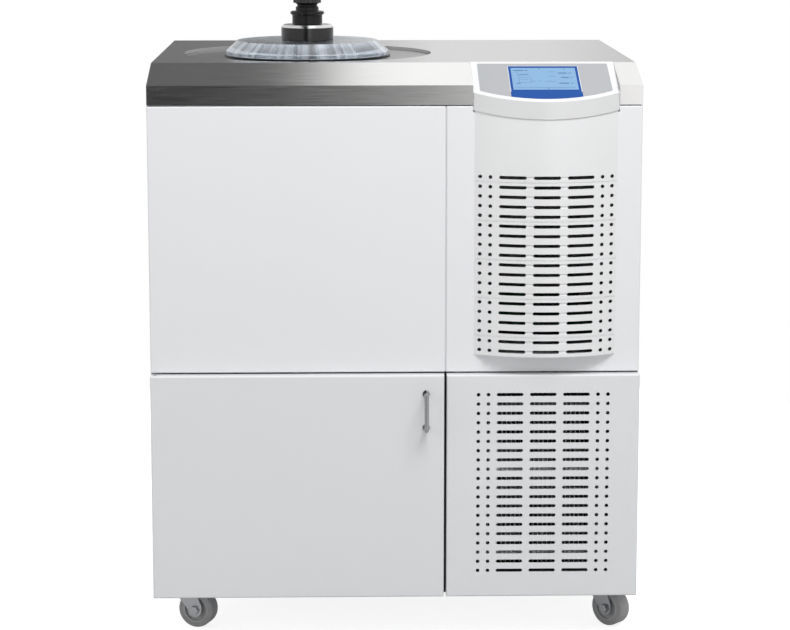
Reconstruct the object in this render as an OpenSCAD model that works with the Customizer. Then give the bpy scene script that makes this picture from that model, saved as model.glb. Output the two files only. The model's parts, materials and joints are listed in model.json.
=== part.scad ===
// Floor-standing laboratory freeze dryer on four casters.
// X runs across, Y from front to back and Z up from the floor. The origin is under the middle of the whole
// object. Modules draw in the cabinet's own frame, where Y = 0 is the face of the upper front panels, and
// in_frame() moves them to the origin.

/* [Cabinet] */
// Width of the cabinet
cabinet_w = 780; // [770:5:800]
// Depth from the upper front panels to the rear panel
cabinet_d = 650; // [645:5:670]
// Height of the worktop above the floor
worktop_z = 927; // [922:1:935]
// Height of the gap between the lower and the upper front panels
split_z = 439; // [436:1:442]
// Height of the lower edge of the front panels
skirt_z = 73; // [72:0.5:75]
// How far the lower door and grille panel stand in front of the upper panels
lower_proud = 15; // [12:1:18]
// X of the seam between the wide left panels and the narrow right ones
seam_x = 80; // [76:1:82]
// Thickness of the cabinet sheet
sheet_t = 1.5; // [1:0.25:1.75]

/* [Worktop] */
// Height of the upright front band of the worktop
band_h = 31; // [28:1:34]
// Depth of the sloped bevel behind the band
bevel_d = 105; // [100:1:108]
// Rise of the sloped bevel
bevel_h = 28; // [26:1:30]
// Radius of the round recess
recess_r = 210; // [207:1:212]
// Depth of the round recess
recess_h = 5.5; // [5:0.5:6]
// X of the middle of the ice chamber
chamber_x = -142; // [-146:1:-140]
// Y of the middle of the ice chamber
chamber_y = 335; // [332:1:338]

/* [Ice chamber] */
// Inner radius of the ice chamber
chamber_r = 130; // [126:1:131]
// Inner depth of the ice chamber
chamber_h = 360; // [350:5:365]
// Number of turns of the ice coil
coil_turns = 19; // [16:1:19]

/* [Lid] */
// Outer radius of the clear lid
lid_r = 138.5; // [137:0.5:139.5]
// Thickness of the clear lid
lid_h = 24; // [22:1:26]
// Width of the chamfer round the lid
lid_chamfer = 18.5; // [17:0.5:19.5]
// Radius of the flange on the lid
port_r = 44.35; // [42:0.5:46]
// Height of the flange on the lid
port_h = 26.5; // [24:0.5:28]

/* [Console] */
// Width of the louvred console cover
cover_w = 226; // [222:1:228]
// How far the middle of the cover stands in front of its sides
cover_bulge = 31; // [28:1:32]
// Height of the lower edge of the cover
cover_z = 469.5; // [466:0.5:471]
// Slope of the display face, degrees
display_tilt = 20.9; // [20:0.1:21.5]
// Thickness of the display head across its slope
head_t = 26; // [24:0.5:27]
// Rows of louvres in the cover
cover_rows = 19; // [17:1:19]
// Rows of louvres in the lower grille panel
grille_rows = 20; // [18:1:20]

/* [Casters] */
// Diameter of the caster wheels
wheel_d = 60; // [58:1:60]
// Width of the caster wheels
wheel_w = 25; // [23:1:26]
// Distance from the swivel axis to the wheel axle
trail = 21; // [19:1:22]

/* [Hidden] */
$fn = 64;

// Reach of the handle in front and of the drain valve behind, which centre the object on the origin
handle_reach = 33;
rear_reach = 40;
front_y = -(cabinet_d + rear_reach - lower_proud - handle_reach) / 2;

half_w = cabinet_w / 2;
wall_x = half_w - sheet_t;                 // inner faces of the side panels
panel_gap = 3;                             // open joint between the front panels
lower_top = split_z - 1;                   // upper edge of the lower panels
upper_z = split_z + 1.5;                   // lower edge of the upper panels
band_z = worktop_z - bevel_h - band_h;     // lower edge of the worktop's band
upper_top = band_z - 1.5;                  // upper edge of the front panels, under a shadow gap
upper_depth = 20.5;                        // folded depth of the upper panels
lower_back = 7.5;                          // plane that the lower panels close against
door_depth = lower_proud + 4;
base_z = 80;                               // underside of the base tray
base_t = 3;
floor_z = base_z + base_t;
deck_t = 2;
deck_z = split_z - 1;                      // upper face of the mid deck
top_t = 2;                                 // worktop sheet

recess_z = worktop_z - recess_h;           // sealing face of the ice chamber
rim_t = 2.5;                               // flange plate of the ice chamber
vessel_t = 2;
vessel_z = recess_z - chamber_h;           // underside of the chamber floor
foam_gap = 0.3;
foam_r = chamber_r + vessel_t + 53;
foam_z = vessel_z - 15;
port_x = chamber_x - 58;                   // vacuum port in the chamber floor
port_y = chamber_y - 35;
port_end_z = vessel_z - 35;
coil_r = chamber_r - 13;
coil_tube_r = 5;
coil_pitch = 15;
coil_z = vessel_z + 40;
tail_x = chamber_x + foam_r;               // outer end of the coil's tails

seal_h = 3;
lid_z = recess_z + seal_h;
port_z = lid_z + lid_h;
valve_z = port_z + port_h;
valve_top = valve_z + 36.3;
knob_z = valve_top + 0.3;

cover_x = 238;
bulge_r = ((cover_w / 2) * (cover_w / 2) + cover_bulge * cover_bulge) / (2 * cover_bulge);
head_w = cover_w + 3;
head_lip = 1.5;                            // overhang of the head over the cover
cover_t = 2.5;
louvre_pitch = 15.43;
louvre_z = worktop_z - 171.5;              // highest row of the cover
grille_pitch = 15.24;
grille_x = 236;
grille_z = split_z - 32.8;                 // highest row of the grille panel
slot_l = 42.5;
slot_h = 5.4;

fan_x = 236;
fan_z = 250;
fan_y = 92;
fan_r = 105;
pump_x = port_x;
pump_z = 190;                              // height of the pump's shaft

hinge_x = -half_w + 8;
hinge_y = -6;
handle_x = 49;
drain_z = vessel_z - 61;
drain_axis_y = cabinet_d + 17;
inlet_x = 300;
inlet_z = 170;
rocker_z = inlet_z + 38;

swivel_x = half_w - 47;
caster_sites = [
    ["front_left", -swivel_x, 82, -20],
    ["front_right", swivel_x, 82, -44],
    ["rear_left", -swivel_x, cabinet_d - 75, -32],
    ["rear_right", swivel_x, cabinet_d - 75, -148]
];
fork_z = 66;                               // underside of the fork's crown

// ---- Shared shapes ----

module in_frame() {
    translate([0, front_y, 0]) children();
}

// A sheet outline whose two front corners are folded to radius r, front edge on y = 0
module folded_outline(w, d, r) {
    translate([r, 0]) square([w - 2 * r, d]);
    translate([0, r]) square([w, d - r]);
    for (x = [r, w - r]) translate([x, r]) circle(r);
}

module folded_block(w, h, d, r) {
    intersection() {
        linear_extrude(h) folded_outline(w, d, r);
        translate([0, 0, h]) rotate([0, 90, 0]) linear_extrude(w)
            folded_outline(h, d, r);
    }
}

// A sheet panel with all four edges folded back by d
module folded_panel(w, h, d, r) {
    difference() {
        folded_block(w, h, d, r);
        translate([sheet_t, sheet_t, sheet_t])
            folded_block(w - 2 * sheet_t, h - 2 * sheet_t, d, r - sheet_t + 0.5);
    }
}

// Extrudes an XZ outline along Y, centred on Y = 0
module along_y(length) {
    rotate([90, 0, 0]) linear_extrude(length, center = true) children();
}

module slot_outline(l, h) {
    square([l - h, h], center = true);
    for (s = [-1, 1]) translate([s * (l - h) / 2, 0]) circle(h / 2);
}

// One row of louvres: three slots between two pairs of round holes
module louvre_row(slot_pitch, hole_a, hole_b) {
    for (i = [-1:1]) translate([i * slot_pitch, 0]) slot_outline(slot_l, slot_h);
    for (s = [-1, 1], x = [hole_a, hole_b]) translate([s * x, 0]) circle(3);
}

// A tube run through a list of corner points, with a brazed elbow at each corner
module tube_run(points, r) {
    for (i = [0:len(points) - 2]) {
        step = points[i + 1] - points[i];
        translate(points[i])
            rotate([0, acos(step[2] / norm(step)), atan2(step[1], step[0])])
                cylinder(h = norm(step), r = r);
        if (i > 0) translate(points[i]) sphere(r + 1);
    }
}

// ---- Cabinet ----

module base_tray() {
    color("gainsboro") in_frame() difference() {
        translate([-wall_x, lower_back + sheet_t, base_z])
            cube([2 * wall_x, cabinet_d - lower_back - 4 * sheet_t, 28]);
        translate([-wall_x + 2, lower_back + sheet_t + 2, floor_z])
            cube([2 * wall_x - 4, cabinet_d - lower_back - 4 * sheet_t - 4, 28]);
        for (x = [-300:100:-100]) translate([x, 560, 0]) cylinder(h = 200, r = 14);
        translate([-half_w, 0, floor_z]) cube([16, 20, 5]);
    }
}

module side_sheet() {
    back = cabinet_d - sheet_t;
    difference() {
        union() {
            translate([-half_w, lower_back, base_z]) cube([sheet_t, back - lower_back, deck_z - base_z]);
            translate([-half_w, upper_depth, base_z]) cube([sheet_t, back - upper_depth, band_z - base_z]);
            translate([-half_w, lower_back, base_z]) cube([20, sheet_t, deck_z - base_z]);
            translate([-half_w, upper_depth, deck_z]) cube([20, sheet_t, band_z - deck_z]);
            translate([-half_w, back - sheet_t, base_z]) cube([20, sheet_t, band_z - base_z]);
        }
        for (z = [hinge_low_z, hinge_high_z])
            translate([-wall_x, lower_back - 1, z - 1]) cube([13, sheet_t + 2, 5]);
    }
}

module left_side_panel() {
    color("whitesmoke") in_frame() side_sheet();
}

module right_side_panel() {
    color("whitesmoke") in_frame() mirror([1, 0, 0]) side_sheet();
}

module rear_panel() {
    color("whitesmoke") in_frame() difference() {
        translate([-half_w, cabinet_d - sheet_t, base_z]) cube([cabinet_w, sheet_t, band_z - base_z]);
        for (row = [0:5], side = [-220, 220])
            translate([side, cabinet_d, 770 + row * louvre_pitch]) along_y(20)
                for (i = [-1:1]) translate([i * 53, 0]) slot_outline(slot_l, slot_h);
        for (row = [0:7])
            translate([150, cabinet_d, 270 + row * louvre_pitch]) along_y(20)
                for (i = [-1:1]) translate([i * 53, 0]) slot_outline(slot_l, slot_h);
        translate([chamber_x, cabinet_d, drain_z]) along_y(20) circle(13);
        translate([inlet_x - 14, cabinet_d - 10, inlet_z - 18]) cube([28, 20, 72]);
    }
}

module mid_deck() {
    back = cabinet_d - 2 * sheet_t;
    color("gainsboro") in_frame() difference() {
        union() {
            translate([-wall_x, upper_depth, deck_z - deck_t]) cube([2 * wall_x, back - upper_depth, deck_t]);
            translate([-wall_x + 18.5, upper_depth, deck_z]) cube([2 * wall_x - 37, sheet_t, 16]);
            translate([-wall_x + 20, 30, deck_z - 22]) cube([wall_x + seam_x - 21, sheet_t, 20]);
        }
        translate([port_x, port_y, deck_z]) cylinder(h = 20, r = 24, center = true);
        translate([88, 300, deck_z - 10]) cube([40, 60, 20]);
        translate([88, 570, deck_z - 10]) cube([40, 50, 20]);
    }
}

module partition_wall() {
    top = deck_z - deck_t;
    color("gainsboro") in_frame() {
        difference() {
            translate([seam_x - 1, lower_back, floor_z])
                cube([sheet_t, cabinet_d - 18 - lower_back, top - floor_z]);
            translate([seam_x - 2, 0, 0]) cube([5, lower_back + 4, floor_z + 26]);
        }
        translate([seam_x - 20, lower_back, floor_z + 26]) cube([40, sheet_t, top - floor_z - 26]);
        translate([seam_x - 1, lower_back + 8, floor_z]) cube([20, cabinet_d - 28 - lower_back, sheet_t]);
    }
}

module upper_front_panel() {
    color("white") in_frame() translate([-half_w, 0, upper_z])
        folded_panel(half_w + seam_x - 0.5, upper_top - upper_z, upper_depth, 2.5);
}

module console_panel() {
    left = seam_x + 1;
    color("white") in_frame() difference() {
        translate([left, 0, upper_z])
            folded_panel(half_w - left, upper_top - upper_z, upper_depth, 2.5);
        // air window behind the louvres and notch under the display head
        translate([cover_x - cover_w / 2 + 4, -5, cover_z + 2]) cube([cover_w - 8, 20, 300]);
        translate([cover_x - head_w / 2 - 1, -5, head_floor_z - 3]) cube([head_w + 2, 40, 60]);
    }
}

module grille_panel() {
    left = seam_x + panel_gap - 1;
    color("white") in_frame() difference() {
        translate([left, -lower_proud, skirt_z])
            folded_panel(half_w - left, lower_top - skirt_z, lower_proud + lower_back, 3);
        for (row = [0:grille_rows - 1])
            translate([grille_x, -lower_proud, grille_z - row * grille_pitch]) along_y(10)
                louvre_row(53, 87.5, 103.4);
    }
}

// ---- Worktop ----

// Section of the worktop across its front bevel, t inside its outer face
module worktop_section(t) {
    polygon([
        [t, band_z - 2 * t],
        [t, worktop_z - bevel_h - 0.85 * t],
        [bevel_d + 0.15 * t, worktop_z - t],
        [cabinet_d - t, worktop_z - t],
        [cabinet_d - t, band_z - 2 * t]
    ]);
}

module worktop_body(x0, w, t) {
    translate([x0, 0, 0]) rotate([90, 0, 90]) linear_extrude(w) worktop_section(t);
}

module worktop() {
    notch_x = cover_x - head_w / 2 - 1;
    notch_w = head_w + 2;
    color("silver") in_frame() {
        difference() {
            worktop_body(-half_w, cabinet_w, 0);
            difference() {
                worktop_body(-half_w + top_t, cabinet_w - 2 * top_t, top_t);
                // cheeks that close the bevel beside the display head
                for (x = [notch_x - top_t, notch_x + notch_w])
                    translate([x, 0, band_z - 10]) cube([top_t, bevel_d + 2, 100]);
            }
            translate([notch_x, -10, band_z - 10]) cube([notch_w, bevel_d + 10.5, 100]);
            translate([chamber_x, chamber_y, worktop_z - 20]) cylinder(h = 40, r = recess_r);
        }
        // collar turned down round the recess
        translate([chamber_x, chamber_y, recess_z - rim_t]) difference() {
            cylinder(h = recess_h + rim_t - top_t / 2, r = recess_r + top_t);
            translate([0, 0, -1]) cylinder(h = 20, r = recess_r);
        }
    }
}

module vessel_rails() {
    rail_z = recess_z - rim_t;
    color("gray") in_frame() for (side = [-1, 1])
        translate([top_t - half_w, chamber_y + side * 203 - 12, rail_z - 25]) difference() {
            cube([cabinet_w - 2 * top_t, 24, 25]);
            translate([-1, 3, -1]) cube([cabinet_w, 18, 23]);
        }
}

// ---- Ice chamber ----

module condenser_vessel() {
    wall_r = chamber_r + vessel_t;
    color("lightsteelblue") in_frame() translate([chamber_x, chamber_y, 0]) difference() {
        union() {
            translate([0, 0, recess_z - rim_t]) cylinder(h = rim_t, r = recess_r - 1.5);
            translate([0, 0, vessel_z]) cylinder(h = recess_z - vessel_z - rim_t / 2, r = wall_r);
            translate([0, 0, vessel_z - 30]) cylinder(h = 32, r = 8);
            translate([port_x - chamber_x, port_y - chamber_y, port_end_z])
                cylinder(h = vessel_z - port_end_z + 1, r = 14);
            translate([port_x - chamber_x, port_y - chamber_y, port_end_z]) cylinder(h = 5, r = 20);
        }
        translate([0, 0, vessel_z + vessel_t]) cylinder(h = chamber_h + 20, r = chamber_r);
        translate([0, 0, vessel_z - 40]) cylinder(h = 60, r = 6);
        translate([port_x - chamber_x, port_y - chamber_y, port_end_z - 10]) cylinder(h = 60, r = 12);
        for (tail = coil_tails) translate([0, tail[1], tail[0]])
            rotate([0, 90, 0]) cylinder(h = 200, r = coil_tube_r);
    }
}

// Heights and Y offsets of the two tails that carry the refrigerant in and out of the coil
coil_tails = [[coil_z, -20], [coil_z + 2 * coil_pitch, 20]];

module condenser_coil() {
    color("silver") in_frame() translate([chamber_x, chamber_y, 0]) {
        for (i = [0:coil_turns - 1])
            translate([0, 0, coil_z + i * coil_pitch])
                rotate_extrude() translate([coil_r, 0]) circle(coil_tube_r);
        // headers that join the turns
        for (a = [90, 210, 330]) rotate([0, 0, a])
            translate([coil_r, 0, coil_z]) cylinder(h = (coil_turns - 1) * coil_pitch, r = 3);
        for (tail = coil_tails) translate([0, tail[1], tail[0]])
            rotate([0, 90, 0]) translate([0, 0, sqrt(coil_r * coil_r - tail[1] * tail[1])])
                cylinder(h = foam_r - sqrt(coil_r * coil_r - tail[1] * tail[1]), r = coil_tube_r);
    }
}

module vessel_insulation() {
    color("khaki") in_frame() translate([chamber_x, chamber_y, 0]) difference() {
        translate([0, 0, foam_z]) cylinder(h = recess_z - rim_t - foam_gap - foam_z, r = foam_r);
        translate([0, 0, vessel_z - foam_gap]) cylinder(h = chamber_h + 20, r = chamber_r + vessel_t + foam_gap);
        translate([0, 0, foam_z - 1]) cylinder(h = 40, r = 8 + foam_gap);
        translate([port_x - chamber_x, port_y - chamber_y, foam_z - 1]) cylinder(h = 40, r = 14 + foam_gap);
        for (tail = coil_tails) translate([0, tail[1], tail[0]])
            rotate([0, 90, 0]) cylinder(h = 300, r = coil_tube_r + foam_gap);
    }
}

module lid_seal() {
    color("black") in_frame() translate([chamber_x, chamber_y, recess_z]) rotate_extrude()
        translate([chamber_r - 1.5, 0]) {
            square([lid_r + 2.5 - chamber_r + 1.5, seal_h]);
            translate([0, -4]) square([1.2, 5]);
        }
}

module acrylic_lid() {
    color("aliceblue", 0.4) in_frame() translate([chamber_x, chamber_y, lid_z]) rotate_extrude() polygon([
        [14, 0], [lid_r, 0], [lid_r, lid_h - lid_chamfer + 1],
        [lid_r - lid_chamfer - 1, lid_h], [14, lid_h]
    ]);
}

module lid_port() {
    color("dimgray") in_frame() translate([chamber_x, chamber_y, port_z]) rotate_extrude() polygon([
        [10, -lid_h - 6], [18, -lid_h - 6], [18, -lid_h], [13.9, -lid_h], [13.9, 0],
        [port_r, 0], [port_r, port_h - 4], [port_r - 4, port_h], [10, port_h]
    ]);
}

module valve_body() {
    color("black") in_frame() translate([chamber_x, chamber_y, valve_z]) rotate_extrude() polygon([
        [0, 0], [24, 0], [24, 1], [25.5, 1], [25.5, 15.5], [28.7, 18], [28.7, 21], [27, 22.5],
        [19.5, 22.5], [19.5, 29.5], [17, 31], [17, 33.5], [21, 36.3],
        [6.06, 36.3], [6.06, 14], [0, 14]
    ]);
}

module valve_knob() {
    color("black") in_frame() translate([chamber_x, chamber_y, knob_z]) {
        difference() {
            cylinder(h = 7, r = 24);
            for (a = [0:30:330]) rotate([0, 0, a]) translate([25.5, 0, -1]) cylinder(h = 9, r = 4);
        }
        rotate_extrude() polygon([
            [0, -14], [6, -14], [6, 1], [20, 1], [20, 13], [17.5, 16], [0, 16]
        ]);
    }
}

// ---- Console ----

// Plan of the bulged console, drawn inset from its sides, front and back
module console_plan(w, front_r, back_y) {
    intersection() {
        translate([cover_x - w / 2, -cover_bulge - 10]) square([w, cover_bulge + 10 + back_y]);
        translate([cover_x, bulge_r - cover_bulge]) circle(front_r);
    }
}

// Space between two planes that lie high and low under the display face, across its slope
module display_slab(high, low) {
    translate([cover_x, bevel_d, worktop_z + 1]) rotate([display_tilt, 0, 0])
        translate([-200, -250, low]) cube([400, 330, high - low]);
}

// Height of the head's underside at the plane of the upper panels
head_floor_z = worktop_z + 1 - bevel_d * tan(display_tilt) - head_t / cos(display_tilt);

module console_cover() {
    color("white") in_frame() difference() {
        translate([0, 0, cover_z]) linear_extrude(worktop_z - cover_z) console_plan(cover_w, bulge_r, 0);
        translate([0, 0, cover_z + cover_t]) linear_extrude(worktop_z)
            console_plan(cover_w - 2 * cover_t, bulge_r - cover_t, 5);
        display_slab(200, -head_t);
        for (row = [0:cover_rows - 1])
            translate([cover_x, 0, louvre_z - row * louvre_pitch]) along_y(100)
                louvre_row(53.7, 88.4, 104.2);
        louvre_recesses();
        cover_grooves();
    }
}

// Shallow channels that link the three slots of a row
module louvre_recesses() {
    intersection() {
        union() for (row = [0:cover_rows - 1])
            translate([cover_x, 0, louvre_z - row * louvre_pitch]) along_y(100)
                square([107.4, slot_h - 1.6], center = true);
        translate([cover_x, bulge_r - cover_bulge, cover_z]) difference() {
            cylinder(h = 400, r = bulge_r + 20);
            cylinder(h = 400, r = bulge_r - 1);
        }
    }
}

// Fine grooves across the cover, one after every fourth row of louvres
module cover_grooves() {
    for (row = [0:4:cover_rows - 2])
        translate([cover_x, bulge_r - cover_bulge, louvre_z - (row + 0.5) * louvre_pitch - 0.6])
            difference() {
                cylinder(h = 1.2, r = bulge_r + 20);
                translate([0, 0, -1]) cylinder(h = 4, r = bulge_r - 0.8);
            }
}

module display_head() {
    color("white") in_frame() difference() {
        intersection() {
            linear_extrude(2 * worktop_z) console_plan(head_w, bulge_r + head_lip, bevel_d);
            display_slab(0, -head_t);
        }
        intersection() {
            linear_extrude(2 * worktop_z) console_plan(head_w - 7, bulge_r + head_lip - 3.5, bevel_d - 3);
            display_slab(-4, -200);
        }
        intersection() {
            linear_extrude(2 * worktop_z) overlay_plan(0);
            display_slab(10, -0.8);
        }
        intersection() {
            linear_extrude(2 * worktop_z) screen_plan(0);
            display_slab(10, -200);
        }
    }
}

module overlay_plan(gap) {
    console_plan(head_w - 20 - 2 * gap, bulge_r + head_lip - 10 - gap, bevel_d - 5 - gap);
}

module screen_plan(gap) {
    intersection() {
        overlay_plan(gap);
        translate([cover_x - 56.5 + gap, -60]) square([113 - 2 * gap, 60 + bevel_d - 15 - gap]);
    }
}

module display_overlay() {
    color("lightgray") in_frame() intersection() {
        linear_extrude(2 * worktop_z) difference() {
            overlay_plan(0.1);
            screen_plan(0);
        }
        display_slab(-0.3, -0.8);
    }
}

// The display unit: its window stands in the head and its case lies against the inside of the face
module display_screen() {
    color("cornflowerblue") in_frame() {
        intersection() {
            linear_extrude(2 * worktop_z) screen_plan(0.1);
            display_slab(-0.2, -5);
        }
        intersection() {
            linear_extrude(2 * worktop_z) intersection() {
                overlay_plan(4);
                translate([cover_x - 66, -60]) square([132, 200]);
            }
            display_slab(-4, -14);
        }
    }
}

// ---- Refrigeration ----

module compressor() {
    r = 86;
    shell_h = 170;
    dome_r = 1.25 * r;
    dome_drop = sqrt(dome_r * dome_r - r * r);
    translate([0, 0, 20]) {
        translate([-105, -85, 0]) cube([210, 170, 3]);
        translate([0, 0, 2]) rotate_extrude() {
            square([r, shell_h]);
            translate([0, 95]) square([r + 5, 5]);
            intersection() {
                translate([0, shell_h - dome_drop]) circle(dome_r);
                translate([0, shell_h]) square([r, dome_r]);
            }
        }
        translate([-30, -r - 14, 90]) cube([60, 40, 55]);
        translate([45, 0, 180]) cylinder(h = 60, r = 5);
        translate([-r - 20, 0, 60]) rotate([0, 90, 0]) cylinder(h = 40, r = 7);
    }
    for (x = [-92, 92], y = [-72, 72]) translate([x, y, 0]) cylinder(h = 21, r = 11);
}

module front_compressor() {
    color("black") in_frame() translate([fan_x, compressor_ys[0], floor_z]) compressor();
}

module rear_compressor() {
    color("black") in_frame() translate([fan_x, compressor_ys[1], floor_z]) compressor();
}

compressor_ys = [275, 475];

module finned_condenser() {
    fins = 34;
    fin_pitch = 7.4;
    width = (fins - 1) * fin_pitch;
    color("darkgray") in_frame() translate([fan_x - width / 2, 24, floor_z + 28]) {
        for (i = [0:fins - 1]) translate([i * fin_pitch - 0.5, 0, 0]) cube([1, 36, 285]);
        for (z = [20:35:265]) translate([-6, 18, z]) rotate([0, 90, 0]) cylinder(h = width + 12, r = 5);
        for (x = [-10, width + 6]) translate([x, 8, -28]) cube([4, 20, 320]);
    }
}

module fan_shroud() {
    color("dimgray") in_frame() difference() {
        union() {
            translate([fan_x - 133, 62, floor_z]) cube([266, 2, 330]);
            translate([fan_x, 81, fan_z]) rotate([90, 0, 0]) cylinder(h = 38, r = fan_r + 4, center = true);
        }
        translate([fan_x, 80, fan_z]) rotate([90, 0, 0]) cylinder(h = 80, r = fan_r + 2, center = true);
    }
}

module fan_motor() {
    color("black") in_frame() translate([fan_x, 0, fan_z]) difference() {
        union() {
            translate([0, 135, 0]) rotate([90, 0, 0]) cylinder(h = 30, r = 38);
            for (a = [45:90:315]) rotate([0, a, 0]) translate([20, 105, -5]) cube([fan_r + 2 - 18, 3, 10]);
            translate([0, 102, 0]) rotate([90, 0, 0]) difference() {
                translate([0, 0, -6]) cylinder(h = 8, r = fan_r + 7);
                translate([0, 0, -8]) cylinder(h = 12, r = fan_r + 2);
            }
        }
        translate([0, 120, 0]) rotate([90, 0, 0]) cylinder(h = 40, r = 4.05);
    }
}

module fan_rotor() {
    blades = 5;
    color("silver") in_frame() translate([fan_x, fan_y, fan_z]) rotate([90, 0, 0]) {
        translate([0, 0, -12]) cylinder(h = 24, r = 30);
        translate([0, 0, -25]) cylinder(h = 14, r = 4);
        for (i = [0:blades - 1]) intersection() {
            rotate([0, 0, i * 360 / blades]) rotate([28, 0, 0]) translate([20, -36, -1]) cube([100, 72, 2]);
            translate([0, 0, -11]) cylinder(h = 28, r = fan_r - 2);
        }
    }
}

module filter_drier() {
    color("peru") in_frame() translate([108, 595, 250]) rotate_extrude() polygon([
        [0, 0], [5, 0], [5, 8], [16, 16], [16, 104], [5, 112], [5, 120], [0, 120]
    ]);
}

module refrigerant_lines() {
    top_z = floor_z + 260;
    front = compressor_ys[0];
    rear = compressor_ys[1];
    tail_low = coil_tails[0];
    tail_high = coil_tails[1];
    color("chocolate") in_frame() {
        tube_run([
            [fan_x + 45, front, top_z], [fan_x + 45, front, 395], [376, front, 395],
            [376, 42, 395], [376, 42, 380], [fan_x + 132.1, 42, 380]
        ], 4);
        tube_run([
            [fan_x + 45, rear, top_z], [fan_x + 45, rear, 410], [200, rear, 410], [200, 590, 410],
            [150, 590, 410], [150, 590, 240], [108, 595, 240], [108, 595, 250]
        ], 4);
        tube_run([
            [108, 595, 370], [108, 595, tail_low[0]], [108, chamber_y + tail_low[1], tail_low[0]],
            [tail_x, chamber_y + tail_low[1], tail_low[0]]
        ], 4);
        tube_run([
            [tail_x, chamber_y + tail_high[1], tail_high[0]], [94, chamber_y + tail_high[1], tail_high[0]],
            [94, chamber_y + tail_high[1], 163]
        ], 4);
        tube_run([[130, front, 163], [94, front, 163], [94, rear, 163], [130, rear, 163]], 4);
    }
}

// ---- Vacuum ----

module vacuum_pump() {
    color("steelblue") in_frame() translate([pump_x, 0, 0]) difference() {
        union() {
            translate([-70, 165, 103]) cube([140, 165, 180]);
            for (i = [0:8]) translate([-76, 172 + i * 18, 115]) cube([152, 6, 150]);
            translate([0, 357, pump_z]) rotate([90, 0, 0]) cylinder(h = 30, r = 78);
            for (x = [-60, 40], y = [175, 300]) translate([x, y, floor_z]) cube([20, 22, 21]);
            translate([0, port_y, 282]) cylinder(h = 41, r = 14);
            translate([0, port_y, 318]) cylinder(h = 5, r = 20);
            translate([0, 166, 160]) rotate([90, 0, 0]) cylinder(h = 8, r = 17);
        }
        translate([0, port_y, 290]) cylinder(h = 60, r = 12);
        translate([0, 162, 160]) rotate([90, 0, 0]) cylinder(h = 10, r = 12);
        translate([35, 200, 268]) cylinder(h = 30, r = 4.05);
    }
}

module pump_motor() {
    color("slategray") in_frame() translate([pump_x, 357, pump_z]) rotate([-90, 0, 0]) {
        cylinder(h = 190, r = 64);
        for (a = [0:20:340]) rotate([0, 0, a]) translate([62, -1.5, 12]) cube([8, 3, 150]);
        translate([0, 0, 165]) cylinder(h = 38, r = 71);
        translate([-40, -90, 30]) cube([80, 40, 90]);
        translate([-45, 55, 60]) cube([90, pump_z - floor_z - 55, 40]);
    }
}

module exhaust_filter() {
    color("silver") in_frame() translate([pump_x - 36, 205, 283]) rotate_extrude() polygon([
        [0, 0], [12, 0], [12, 12], [28, 18], [28, 96], [20, 104], [8, 104], [8, 116], [0, 116]
    ]);
}

module ballast_knob() {
    color("black") in_frame() translate([pump_x + 35, 200, 283.3]) difference() {
        union() {
            cylinder(h = 14, r = 15);
            translate([0, 0, -14]) cylinder(h = 15, r = 4);
        }
        for (a = [0:45:315]) rotate([0, 0, a]) translate([16.5, 0, 2]) cylinder(h = 20, r = 3.5);
    }
}

module vacuum_line() {
    low = 323;
    ridges = floor((port_end_z - low - 24) / 6);
    color("silver") in_frame() translate([port_x, port_y, low]) difference() {
        union() {
            cylinder(h = port_end_z - low, r = 13);
            for (z = [0, port_end_z - low - 5]) translate([0, 0, z]) cylinder(h = 5, r = 20);
            translate([0, 0, 12]) rotate_extrude()
                for (i = [0:ridges - 1]) translate([0, i * 6]) square([16, 3]);
        }
        translate([0, 0, -1]) cylinder(h = port_end_z - low + 2, r = 11);
    }
}

module drain_pipe() {
    bend = 20;
    color("lightgray") in_frame() translate([chamber_x, chamber_y, 0]) {
        translate([0, 0, drain_z + bend]) cylinder(h = vessel_z - 30 - drain_z - bend, r = 8);
        translate([0, bend, drain_z + bend]) rotate([-90, 0, -90])
            rotate_extrude(angle = 90) translate([bend, 0]) circle(8);
        translate([0, bend, drain_z]) rotate([-90, 0, 0]) cylinder(h = cabinet_d - chamber_y - bend - 10, r = 8);
    }
}

module drain_valve() {
    color("goldenrod") in_frame() translate([chamber_x, 0, drain_z]) difference() {
        union() {
            translate([0, cabinet_d - 10, 0]) rotate([-90, 0, 0]) cylinder(h = 12, r = 12);
            translate([0, cabinet_d, 0]) rotate([-90, 0, 0]) cylinder(h = 5, r = 16, $fn = 6);
            translate([0, cabinet_d + 4, 0]) rotate([-90, 0, 0]) cylinder(h = 25, r = 12);
            translate([0, cabinet_d + 28, 0]) rotate([-90, 0, 0]) cylinder(h = rear_reach - 28, r = 6);
            translate([0, drain_axis_y, 0]) cylinder(h = 18, r = 6);
        }
        translate([0, cabinet_d - 20, 0]) rotate([-90, 0, 0]) cylinder(h = 80, r = 4);
        translate([0, drain_axis_y, 8]) cylinder(h = 20, r = 3.06);
    }
}

module drain_lever() {
    color("red") in_frame() translate([chamber_x, drain_axis_y, drain_z]) {
        translate([0, 0, 8.5]) cylinder(h = 14, r = 3);
        translate([0, 0, 18.3]) cylinder(h = 5, r = 9);
        translate([0, -6, 18.3]) cube([46, 12, 3]);
        translate([46, 0, 18.3]) cylinder(h = 3, r = 6);
    }
}

// ---- Electrics ----

module control_tray() {
    color("silver") in_frame() translate([150, 300, deck_z]) difference() {
        cube([220, 250, 60]);
        translate([1.5, -1, 1.5]) cube([217, 252, 60]);
    }
}

module control_board() {
    color("darkgreen") in_frame() translate([160, 310, deck_z + 1.5]) {
        for (x = [8, 192], y = [8, 222]) translate([x, y, 0]) cylinder(h = 10, r = 4);
        translate([0, 0, 10]) cube([200, 230, 1.6]);
        for (i = [0:4]) translate([15 + i * 34, 15, 11]) cube([20, 28, 18]);
        translate([20, 130, 11]) cube([70, 60, 45]);
        for (i = [0:2]) translate([120 + i * 25, 160, 11]) cylinder(h = 40, r = 10);
    }
}

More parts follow.
